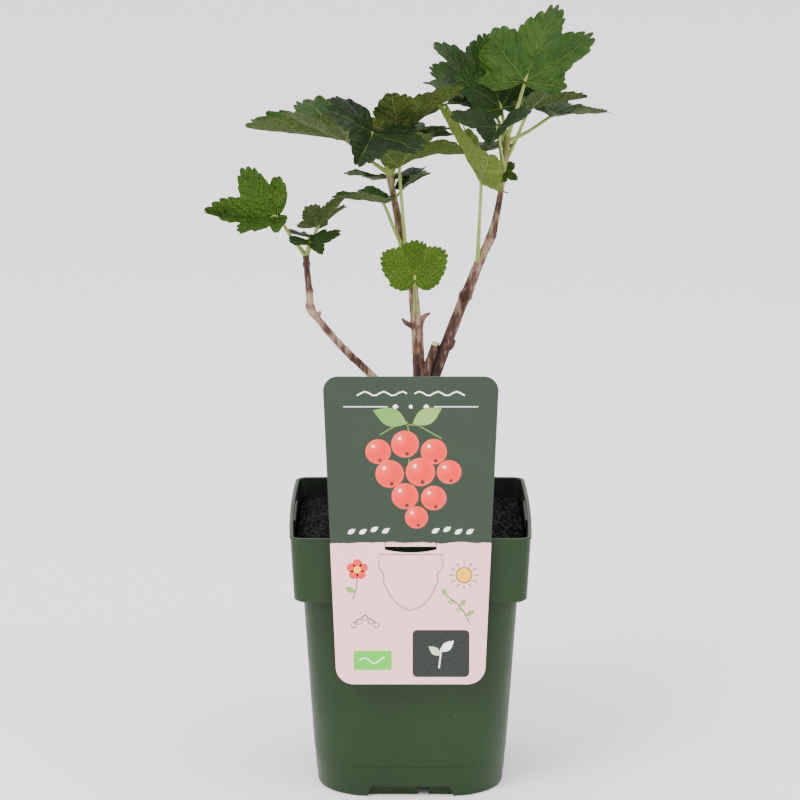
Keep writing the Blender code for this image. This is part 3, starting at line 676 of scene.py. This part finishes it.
# Rings left by old leaves and bud scales: the bough, the height, how far they stand out
NODES = [
    ("main_stem", 208, 0.7), ("main_stem", 229, 0.5), ("main_stem", 249, 0.5), ("main_stem", 262, 0.4),
    ("main_stem", 270, 0.4), ("right_stem", 219, 0.4), ("right_stem", 237, 0.5), ("right_stem", 265, 0.6),
    ("right_stem", 268, 0.5), ("right_stem", 284, 0.4), ("right_stem", 298, 0.5), ("left_stem", 231, 0.5),
    ("left_stem", 246, 0.3), ("left_branch", 260, 0.5), ("left_branch", 269, 0.5), ("left_branch", 276, 0.4),
    ("left_branch", 282, 0.4), ("cut_stub", 224, 0.5),
]
BARK_DARK = (34, 20, 17)
BARK_MIDDLE = (84, 56, 43)
BARK_PALE = (156, 128, 108)
SHOOT_GREEN = (98, 106, 44)
CUT_WOOD = (184, 178, 118)


def bark_material():
    made, tree, shader = new_material("bark", 0.8, 0.3)
    long_grain = place(tree, (1, 1, 0.16))
    where = place(tree)
    fibre = grain(tree, long_grain, 420, 6, 0.65)
    patch = grain(tree, place(tree, (1, 1, 0.45)), 75, 4, 0.6)
    flaking = calc(tree, "MULTIPLY_ADD", fibre, 0.5, calc(tree, "MULTIPLY", patch, 0.6))
    bark = ramp(tree, flaking, (0.46, BARK_DARK), (0.54, BARK_MIDDLE), (0.64, BARK_PALE))
    young = tree.nodes.new("ShaderNodeAttribute")
    young.attribute_name = "young"
    ring = tree.nodes.new("ShaderNodeAttribute")
    ring.attribute_name = "scar"
    green = calc(tree, "MULTIPLY", young.outputs["Fac"], ease(tree, grain(tree, where, 120, 3), 0.25, 0.6))
    soft = mix(tree, green, bark, SHOOT_GREEN)
    scarred = mix(tree, calc(tree, "MULTIPLY", ring.outputs["Fac"], 0.75), soft, (62, 36, 28))
    cut = tree.nodes.new("ShaderNodeAttribute")
    cut.attribute_name = "cut"
    tree.links.new(mix(tree, cut.outputs["Fac"], scarred, CUT_WOOD), shader.inputs["Base Color"])
    height = calc(tree, "ADD", fibre, calc(tree, "MULTIPLY", patch, 0.6))
    relief(tree, shader, height, 0.7, 0.5)
    return made


def curve_through(knots, spacing):
    """Points read from a smooth curve through the knots, about the spacing apart."""
    knots = [Vector(k) for k in knots]
    knots = [2 * knots[0] - knots[1]] + knots + [2 * knots[-1] - knots[-2]]
    path = []
    for k in range(1, len(knots) - 2):
        a, b, c, d = knots[k - 1:k + 3]
        steps = max(1, round((b.xyz - c.xyz).length / spacing))
        for step in range(steps):
            t = step / steps
            path.append(0.5 * (2 * b + (c - a) * t + (2 * a - 5 * b + 4 * c - d) * t * t
                               + (3 * b - a - 3 * c + d) * t ** 3))
    path.append(knots[-2])
    return path


class Solid:
    """Points, faces and values on the points, gathered for one piece."""

    def __init__(self, *names):
        self.points, self.faces, self.values = [], [], {name: [] for name in names}

    def tube(self, path, sides, swell, values):
        """A closed tube; swell(point, radius) changes the radius, values(point) tells the stored values."""
        start = len(self.points)
        side = Vector((1, 0, 0))
        for k, knot in enumerate(path):
            way = (path[min(k + 1, len(path) - 1)].xyz - path[max(k - 1, 0)].xyz).normalized()
            side = (side - way * side.dot(way)).normalized()
            other = way.cross(side)
            for turn in range(sides):
                a = 2 * math.pi * turn / sides
                out = side * math.cos(a) + other * math.sin(a)
                radius = swell(knot.xyz + out * knot.w, knot.w)
                self.points.append(tuple(knot.xyz + out * radius))
        for k in range(len(path) - 1):
            for turn in range(sides):
                nxt = (turn + 1) % sides
                a, b = start + k * sides, start + (k + 1) * sides
                self.faces.append((a + turn, a + nxt, b + nxt, b + turn))
        for k, order in ((0, -1), (len(path) - 1, 1)):
            hub = len(self.points)
            self.points.append(tuple(path[k].xyz))
            for turn in range(sides):
                ends = (start + k * sides + turn, start + k * sides + (turn + 1) % sides)
                self.faces.append((hub, *ends[::order]))
        for point in self.points[start:]:
            for name, value in values(Vector(point)).items():
                self.values[name].append(value)

    def build(self, name, materials):
        obj = mesh_object(name, self.points, self.faces, materials)
        for key, stored in self.values.items():
            layer = obj.data.attributes.new(key, "FLOAT", "POINT")
            layer.data.foreach_set("value", stored)
        return obj


def bark_swell(owner):
    rings = [(z, size) for name, z, size in NODES if name == owner]

    def swell(point, radius):
        rough = 0.05 * noise.noise(Vector((point.x * 0.5, point.y * 0.5, point.z * 0.12)))
        rough += 0.035 * noise.noise(Vector((point.x * 1.6, point.y * 1.6, point.z * 0.4)))
        node = sum(size * math.exp(-((point.z - z) / 1.1) ** 2) * (0.6 + 0.8 * abs(noise.noise(point * 0.8)))
                   for z, size in rings)
        return radius * (0.985 + rough) + 0.55 * node

    return swell


def bark_values(owner, young):
    rings = [(z, size) for name, z, size in NODES if name == owner]
    top = BOUGHS["cut_stub"][-1]

    def values(point):
        scar = min(1.0, sum(1.4 * size * math.exp(-((point.z - z) / 1.3) ** 2) for z, size in rings))
        is_cut = owner == "cut_stub" and (point - Vector(top[:3])).length < 2.5 and point.z > 239.0
        return {"young": young(point), "scar": scar, "cut": 1.0 if is_cut else 0.0}

    return values


def make_wood(bark):
    for name, path in BOUGHS.items():
        wood = Solid("young", "scar", "cut")
        values = bark_values(name, lambda point: 0.0)
        wood.tube(curve_through(path, 0.9), 22, bark_swell(name), values)
        for owner, low, middle, high in SPURS:
            if owner == name:
                spur = curve_through([low, middle, high], 0.5)
                values = {"young": 0.0, "scar": 0.55, "cut": 0.0}
                wood.tube(spur, 12, bark_swell("spur"), lambda point, values=values: values)
        obj = wood.build(name + "_bark", [bark])
        smooth(obj, 60)
        finished(obj, "bark", name)


bark = bark_material()
make_wood(bark)

# Leaves. Soft lobed currant leaves with sunken veins and toothed edges, deep green above and paler below,
# each on a slim pale stalk. Every leaf is placed by its foot on the wood, its stalk and the way it faces.

Leaf = namedtuple(
    "Leaf", "mass bough foot stalk bearing rise heading pitch roll size fold tuck droop reach width tone"
)
LEAVES = [
    Leaf("left", "left_branch", 286.4, 28, -154, 54, 173, -8, -47, 41, 39, 4, 38, 0.84, 50, 0.67),
    Leaf("left", "left_branch", 286.0, 18, 55, 54, -30, 47, -12, 26, 16, 4, -2, 0.80, 50, 0.55),
    Leaf("left", "left_branch", 286.6, 14, -78, 42, -70, -5, 6, 18, 25, 6, -12, 1.05, 55, 0.50),
    Leaf("left", "left_branch", 285.6, 17, 84, 28, 80, -4, 0, 24, 12, 6, -15, 0.86, 51, 0.40),
    Leaf("centre", "main_stem", 330, 30, -168, 39, 173, 6, 3, 56, 25, 6, 2, 0.86, 55, 0.45),
    Leaf("centre", "main_stem", 330, 36, -110, 46, -98, -7, -25, 41, 26, 6, -20, 0.92, 58, 0.10),
    Leaf("centre", "main_stem", 329, 24, -50, 76, -27, 34, -15, 48, 20, 6, 2, 0.75, 55, 0.60),
    Leaf("centre", "main_stem", 328, 24, 60, 50, 24, 6, 0, 30, 20, 6, -10, 0.86, 51, 0.40),
    Leaf("centre", "main_stem", 317, 11, 62, 20, 35, 25, -20, 19, 18, 6, -10, 0.86, 51, 0.35),
    Leaf("centre", "main_stem", 330, 31, 95, 25, 75, 0, 0, 46, 10, 6, -15, 0.86, 51, 0.45),
    Leaf("centre", "main_stem", 322, 24, 88, 3, 110, -4, 0, 34, 10, 6, -15, 0.86, 51, 0.40),
    Leaf("centre", "main_stem", 286, 50, -115, 81, 6, 30, -22, 40, 20, 6, -40, 0.80, 51, 0.60),
    Leaf("centre", "main_stem", 289, 32, -136, 61, 175, 10, 6, 28, 18, 6, -10, 0.80, 53, 0.50),
    Leaf("low", "main_stem", 254, 35, -91, 46, 95, 70, -8, 22, 16, 6, -28, 1.00, 82, 0.93),
    Leaf("right", "right_stem", 351, 32, -25, 72, 55, 55, -5, 47, 3, 55, -5, 0.95, 56, 0.55),
    Leaf("right", "right_stem", 350, 21, 102, 44, 133, 62, -10, 41, 12, 30, 10, 0.85, 58, 0.40),
    Leaf("right", "right_stem", 347, 36, 121, 42, 161, 49, -13, 38, 8, 10, -11, 0.98, 53, 0.35),
    Leaf("right", "right_stem", 336, 33, 42, 57, -6, 16, -8, 33, 22, 6, -5, 0.90, 51, 0.40),
    Leaf("right", "right_stem", 334, 34, -100, 49, -99, -10, 4, 33, 32, 4, 4, 0.95, 55, 0.20),
    Leaf("right", "right_stem", 327, 6, -160, 62, -20, -10, 30, 12, 17, 4, -20, 0.90, 55, 0.80),
    Leaf("right", "right_stem", 351, 36, 104, 20, 104, 18, 0, 48, 10, 8, -20, 0.86, 51, 0.45),
    Leaf("right", "right_stem", 330, 29, 112, 17, 120, 0, 0, 34, 10, 6, -15, 0.86, 51, 0.40),
    Leaf("right", "right_stem", 348, 39, 50, 14, 28, 2, 0, 36, 14, 6, -10, 0.86, 51, 0.45),
    Leaf("long", "right_stem", 281, 51, -86, 70, -157, 58, -12, 50, 22, 20, 2, 0.72, 53, 0.95),
]
CAD_NODE = {"left": "left_leaves", "centre": "centre_leaves", "low": "low_leaf", "right": "right_leaves",
            "long": "long_leaf"}
RAYS = 216
RINGS = 12
TEETH = np.array([1.0, 0.42, 0.10, 0.0, 0.06, 0.30])
TOOTH_DEPTH = 0.075
LOBES = [(0, 1.0), (52, 1.0), (-52, 1.0), (98, 0.66), (-98, 0.66)]
BLADE_SPAN = 2.4
CELL_SPAN = 2.15
UPPER_DARK = (9, 26, 5)
UPPER_GREEN = (30, 60, 8)
UPPER_PALE = (70, 98, 20)
UNDER_DARK = (40, 54, 22)
UNDER_GREEN = (56, 72, 26)
UNDER_PALE = (86, 100, 30)
STALK_DARK = (104, 120, 50)
STALK_GREEN = (132, 146, 66)
STALK_PALE = (160, 162, 100)


def vein_masks(tree):
    """Main veins, side veins, the pleats between them and the blade's own flat coordinates."""
    spot = tree.nodes.new("ShaderNodeUVMap")
    spot.uv_map = "Blade"
    split = tree.nodes.new("ShaderNodeSeparateXYZ")
    tree.links.new(spot.outputs["UV"], split.inputs[0])
    x = calc(tree, "MULTIPLY", calc(tree, "SUBTRACT", split.outputs["X"], 0.5), BLADE_SPAN)
    y = calc(tree, "MULTIPLY", calc(tree, "SUBTRACT", split.outputs["Y"], 0.5), BLADE_SPAN)
    wavy = calc(tree, "MULTIPLY_ADD", grain(tree, spot.outputs["UV"], 9, 2), 0.10, -0.05)
    angle = calc(tree, "ADD", calc(tree, "ARCTAN2", calc(tree, "ABSOLUTE", x), y), wavy)
    second = calc(tree, "MULTIPLY", calc(tree, "GREATER_THAN", angle, math.radians(26)), math.radians(52))
    third = calc(tree, "MULTIPLY", calc(tree, "GREATER_THAN", angle, math.radians(75)), math.radians(46))
    off = calc(tree, "SUBTRACT", angle, calc(tree, "ADD", second, third))
    far = calc(tree, "SQRT", calc(tree, "ADD", calc(tree, "MULTIPLY", x, x), calc(tree, "MULTIPLY", y, y)))
    across = calc(tree, "MULTIPLY", far, calc(tree, "ABSOLUTE", calc(tree, "SINE", off)))
    along = calc(tree, "MULTIPLY", far, calc(tree, "COSINE", off))
    taper = calc(tree, "MULTIPLY_ADD", far, -0.008, 0.014)
    main = ease(tree, calc(tree, "DIVIDE", across, taper), 1.0, 0.35)
    steps = calc(tree, "MULTIPLY", calc(tree, "MULTIPLY_ADD", across, -1.15, along), 7.5)
    steps = calc(tree, "MULTIPLY_ADD", grain(tree, spot.outputs["UV"], 14, 2), 1.6, steps)
    nearness = calc(tree, "ABSOLUTE", calc(tree, "SUBTRACT", calc(tree, "FRACT", steps), 0.5))
    side = calc(tree, "MULTIPLY", ease(tree, nearness, 0.06, 0.015), ease(tree, far, 0.06, 0.2))
    return main, side, ease(tree, nearness, 0.0, 0.4), spot.outputs["UV"]


def leaf_material(name, upper):
    made, tree, shader = new_material(name, 0.6 if upper else 0.75, 0.18)
    main, side, pleat, spot = vein_masks(tree)
    where = place(tree)
    tone = tree.nodes.new("ShaderNodeAttribute")
    tone.attribute_name = "tone"
    blotch = calc(tree, "MULTIPLY_ADD", grain(tree, where, 55, 5, 0.6), 0.7, -0.35)
    level = calc(tree, "ADD", tone.outputs["Fac"], blotch, clamp=True)
    web = cells(tree, spot, 46, "DISTANCE_TO_EDGE")
    net = ease(tree, web, 0.09, 0.02)
    if upper:
        base = ramp(tree, level, (0.0, UPPER_DARK), (0.5, UPPER_GREEN), (1.0, UPPER_PALE))
        vein, strength = (92, 118, 46), (0.55, 0.24, 0.05)
    else:
        base = ramp(tree, level, (0.0, UNDER_DARK), (0.5, UNDER_GREEN), (1.0, UNDER_PALE))
        vein, strength = (122, 136, 74), (0.7, 0.4, 0.15)
    thick, thin = calc(tree, "MULTIPLY", main, strength[0]), calc(tree, "MULTIPLY", side, strength[1])
    drawn = calc(tree, "MAXIMUM", thick, thin)
    drawn = calc(tree, "MAXIMUM", drawn, calc(tree, "MULTIPLY", net, strength[2]))
    tree.links.new(mix(tree, drawn, base, vein), shader.inputs["Base Color"])
    puffed = calc(tree, "MULTIPLY", ease(tree, web, 0.0, 0.25), 0.4)
    puffed = calc(tree, "MULTIPLY_ADD", pleat, 0.55, puffed)
    sunk = calc(tree, "ADD", calc(tree, "MULTIPLY", main, 1.0), calc(tree, "MULTIPLY", side, 0.6))
    height = calc(tree, "SUBTRACT", puffed, sunk) if upper else calc(tree, "ADD", puffed, sunk)
    relief(tree, shader, height, 1.0, 1.0)
    return made


def stalk_material():
    made, tree, shader = new_material("leaf_stalk", 0.55, 0.4)
    where = place(tree, (1, 1, 0.3))
    colour = ramp(tree, grain(tree, where, 160, 4), (0.3, STALK_DARK), (0.6, STALK_GREEN), (0.8, STALK_PALE))
    tree.links.new(colour, shader.inputs["Base Color"])
    relief(tree, shader, grain(tree, where, 600, 3), 0.2, 0.2)
    return made


def foot_of(leaf):
    """The point on the wood at the height where the leaf's stalk grows."""
    path = BOUGHS[leaf.bough] + SHOOTS[leaf.bough][1:]
    for low, high in zip(path, path[1:]):
        if low[2] <= leaf.foot <= high[2]:
            return Vector(low[:3]).lerp(Vector(high[:3]), (leaf.foot - low[2]) / (high[2] - low[2]))
    return Vector(path[-1][:3])


def seat_of(leaf):
    """The end of the stalk, where the blade begins."""
    b, r = math.radians(leaf.bearing), math.radians(leaf.rise)
    way = Vector((math.cos(b) * math.cos(r), math.sin(b) * math.cos(r), math.sin(r)))
    return foot_of(leaf) + way * leaf.stalk


def lobed_reach(angles, leaf):
    """The blade's reach at angles from its midrib, as a share of its length."""
    reach = np.full(angles.shape, 0.06)
    for lobe, length in LOBES:
        off = np.abs((angles - lobe + 180) % 360 - 180)
        tall = 1.0 if lobe == 0 else leaf.reach * length
        width = leaf.width * (1.0 if abs(lobe) < 90 else 0.95)
        reach = np.maximum(reach, tall * (1 - np.minimum(off / width, 1) ** 1.6))
    return reach


def on_blade(leaf, across, along):
    """Points of the folded and curved blade, in millimetres about the stalk's end."""
    fold = math.radians(leaf.fold)
    ahead = (math.radians(leaf.droop) or 1e-6) / leaf.size
    behind = (math.radians(leaf.tuck) or 1e-6) / (0.3 * leaf.size)
    curve = np.where(along > 0, ahead, behind)
    bend = curve * along
    rise = math.sin(fold) * (np.sqrt(across ** 2 + 1.0) - 1.0)
    local = np.stack([
        math.cos(fold) * across,
        np.sin(bend) / curve - rise * np.sin(bend),
        (1 - np.cos(bend)) / curve + rise * np.cos(bend),
    ], axis=-1)
    turn = (Matrix.Rotation(math.radians(leaf.heading - 90), 3, "Z")
            @ Matrix.Rotation(math.radians(leaf.pitch), 3, "X")
            @ Matrix.Rotation(math.radians(leaf.roll), 3, "Y"))
    return local @ np.array(turn).T


def blade_points(leaf, phase):
    """Flat places in shares of the length, and the upper and lower surfaces in millimetres."""
    fine = np.linspace(-180, 180, 2161)
    way = np.stack([np.sin(np.radians(fine)), np.cos(np.radians(fine))], axis=1)
    edge = lobed_reach(fine, leaf)[:, None] * way
    length = np.concatenate([[0.0], np.cumsum(np.linalg.norm(np.diff(edge, axis=0), axis=1))])
    angles = np.interp(np.arange(RAYS) / RAYS, length / length[-1], fine)
    reach = lobed_reach(angles, leaf)
    small = np.array([noise.noise(Vector((a * 0.06, phase * 3.1, 0.5))) for a in angles])
    rim = reach * (1 + 0.04 * small - TOOTH_DEPTH * TEETH[np.arange(RAYS) % len(TEETH)] * (0.8 + 0.5 * small))
    shares = np.linspace(0, 1, RINGS + 1)[1:]
    blend = shares[:, None] ** 2
    spread = shares[:, None] * (rim * blend + reach * 0.93 * (1 - blend))
    x = np.concatenate([[0.0], (spread * np.sin(np.radians(angles))).ravel()])
    y = np.concatenate([[0.0], (spread * np.cos(np.radians(angles))).ravel()])
    share = np.concatenate([[0.0], np.repeat(shares, RAYS)])
    turn = np.concatenate([[0.0], np.tile(angles, RINGS)])
    from_vein = np.min([np.abs((turn - lobe + 180) % 360 - 180) for lobe, _ in LOBES], axis=0) / 26
    quilt = 0.055 * share * np.minimum(from_vein, 1.0)
    wave = 0.018 * share ** 2 * np.sin(np.radians(turn * 6 + phase * 97))
    ripple = 0.014 * share ** 3 * np.sin(np.radians(turn * 15 + phase * 51))
    crumple = np.array([noise.noise(Vector((u * 4.5, v * 4.5, phase * 1.7))) for u, v in zip(x, y)])
    crumple += 0.5 * np.array([noise.noise(Vector((u * 11, v * 11, phase * 1.7))) for u, v in zip(x, y)])
    lift = (quilt + wave + ripple + 0.030 * crumple * np.minimum(share * 3, 1)) * leaf.size
    step = 0.02 * leaf.size
    across, along = x * leaf.size, y * leaf.size
    at = on_blade(leaf, across, along)
    ahead = on_blade(leaf, across, along + step) - on_blade(leaf, across, along - step)
    aside = on_blade(leaf, across + step, along) - on_blade(leaf, across - step, along)
    normal = np.cross(aside, ahead)
    normal /= np.linalg.norm(normal, axis=1, keepdims=True)
    thick = 0.007 * leaf.size * (1 - share ** 6) + 0.1 * (1 - share)
    seat = np.array(seat_of(leaf))
    upper = seat + at + normal * (lift + thick * 0.5)[:, None]
    lower = seat + at + normal * (lift - thick * 0.5)[:, None]
    return np.stack([x, y], axis=1), upper, lower


def make_blades(mass, leaves, upper, under):
    """All blades of one mass: both sides share their edge, and each has its own cell of the bake map."""
    points, faces, slots, flat_uv, bake_uv, tones = [], [], [], [], [], []
    cells_across = math.ceil(math.sqrt(2 * len(leaves)))
    inner = 1 + (RINGS - 1) * RAYS
    for number, leaf in enumerate(leaves):
        flat, top, bottom = blade_points(leaf, number + 3 * len(mass))
        start = len(points)
        points += top.tolist() + bottom[:inner].tolist()
        tones += [leaf.tone] * (len(top) + inner)
        total = len(top)
        for side in (0, 1):
            column, row = (2 * number + side) % cells_across, (2 * number + side) // cells_across

            def corner(k):
                return start + (total + k if side and k < inner else k)

            rows = []
            for ray in range(RAYS):
                nxt = (ray + 1) % RAYS
                rows.append((0, 1 + nxt, 1 + ray))
                for ring in range(RINGS - 1):
                    a, b = 1 + ring * RAYS, 1 + (ring + 1) * RAYS
                    rows.append((a + ray, a + nxt, b + nxt, b + ray))
            for face in rows:
                face = face[::-1] if side else face
                faces.append(tuple(corner(k) for k in face))
                slots.append(side)
                for k in face:
                    u, v = flat[k]
                    flat_uv += [0.5 + u / BLADE_SPAN, 0.5 + v / BLADE_SPAN]
                    bake_uv.append((column + 0.5 + u / CELL_SPAN) / cells_across)
                    bake_uv.append((row + 0.5 + (v - 0.15) / CELL_SPAN) / cells_across)
    mesh = bpy.data.meshes.new(mass + "_blades")
    mesh.from_pydata((np.array(points) * MM).tolist(), [], faces)
    mesh.materials.append(upper)
    mesh.materials.append(under)
    mesh.polygons.foreach_set("material_index", slots)
    for name, stored in (("OFBake", bake_uv), ("Blade", flat_uv)):
        layer = mesh.uv_layers.new(name=name)
        layer.uv.foreach_set("vector", stored)
    mesh.attributes.new("tone", "FLOAT", "POINT").data.foreach_set("value", tones)
    obj = bpy.data.objects.new(mass + "_blades", mesh)
    bpy.context.scene.collection.objects.link(obj)
    smooth(obj, 80)
    return finished(obj, "foliage", CAD_NODE[mass])


def make_stalks(mass, leaves, material):
    stalks = Solid()
    for leaf in leaves:
        foot, seat = foot_of(leaf), seat_of(leaf)
        slim = 0.7 if leaf.size < 20 else 1.0
        end = seat + Vector(on_blade(leaf, np.array([0.0]), np.array([0.10 * leaf.size]))[0])
        middle = foot.lerp(seat, 0.5)
        middle.z -= 0.02 * leaf.stalk
        knots = [(*foot, 1.7 * slim), (*foot.lerp(seat, 0.12), 1.25 * slim), (*middle, 0.95 * slim),
                 (*seat, 0.85 * slim), (*end, 0.25)]
        stalks.tube(curve_through(knots, 1.2), 12, lambda point, radius: radius, lambda point: {})
    obj = stalks.build(mass + "_stalks", [material])
    smooth(obj, 60)
    return finished(obj, "foliage", CAD_NODE[mass])


def make_shoot(mass, bough, bark):
    """The shoot's own wood: brown at its foot, greener towards its tip."""
    path = SHOOTS[bough]
    low, high = path[0][2], path[-1][2]

    def young(point):
        share = (point.z - low) / (high - low)
        return min(1.0, max(0.0, 1.2 * share - 0.35 + 0.5 * noise.noise(point * 0.15)))

    shoot = Solid("young", "scar", "cut")
    shoot.tube(curve_through(path, 0.7), 20, bark_swell(bough), bark_values(bough, young))
    obj = shoot.build(mass + "_shoot", [bark])
    smooth(obj, 60)
    return finished(obj, "bark", CAD_NODE[mass])


def make_foliage(bark):
    upper, under = leaf_material("leaf_upper", True), leaf_material("leaf_underside", False)
    stalk = stalk_material()
    for mass in CAD_NODE:
        leaves = [leaf for leaf in LEAVES if leaf.mass == mass]
        make_blades(mass, leaves, upper, under)
        make_stalks(mass, leaves, stalk)
        if len(leaves) > 1:
            make_shoot(mass, leaves[0].bough, bark)


make_foliage(bark)

# Studio. A pale floor, an even white surround, a large soft key light from the upper left and a fill.


def make_studio():
    floor_mesh = bpy.data.meshes.new("floor")
    floor_mesh.from_pydata([(-6, -6, 0), (6, -6, 0), (6, 6, 0), (-6, 6, 0)], [], [(0, 1, 2, 3)])
    pale, _, shader = new_material("floor_paper", 0.9, 0.2)
    shader.inputs["Base Color"].default_value = (0.95, 0.95, 0.95, 1.0)
    floor_mesh.materials.append(pale)
    floor = bpy.data.objects.new("floor", floor_mesh)
    bpy.context.scene.collection.objects.link(floor)
    world = bpy.data.worlds.new("studio")
    world.use_nodes = True
    world.node_tree.nodes["Background"].inputs["Color"].default_value = (1, 1, 1, 1)
    world.node_tree.nodes["Background"].inputs["Strength"].default_value = 1.8
    bpy.context.scene.world = world
    for name, spot, power, size in (("key", (-1.2, -1.6, 1.9), 58, 1.0), ("fill", (1.6, -1.2, 1.1), 16, 1.4)):
        data = bpy.data.lights.new(name, "AREA")
        data.energy = power
        data.size = size
        light = bpy.data.objects.new(name, data)
        light.location = spot
        light.rotation_euler = (Vector((0, 0, 0.2)) - Vector(spot)).to_track_quat("-Z", "Y").to_euler()
        bpy.context.scene.collection.objects.link(light)


def make_camera():
    data = bpy.data.cameras.new("camera")
    data.lens = 163.4
    data.sensor_width = 36
    data.clip_end = 50
    camera = bpy.data.objects.new("camera", data)
    camera.location = (-0.0056, -1.9, 0.668)
    camera.rotation_euler = (math.radians(76.38), 0, 0)
    bpy.context.scene.collection.objects.link(camera)
    bpy.context.scene.camera = camera


make_studio()
make_camera()
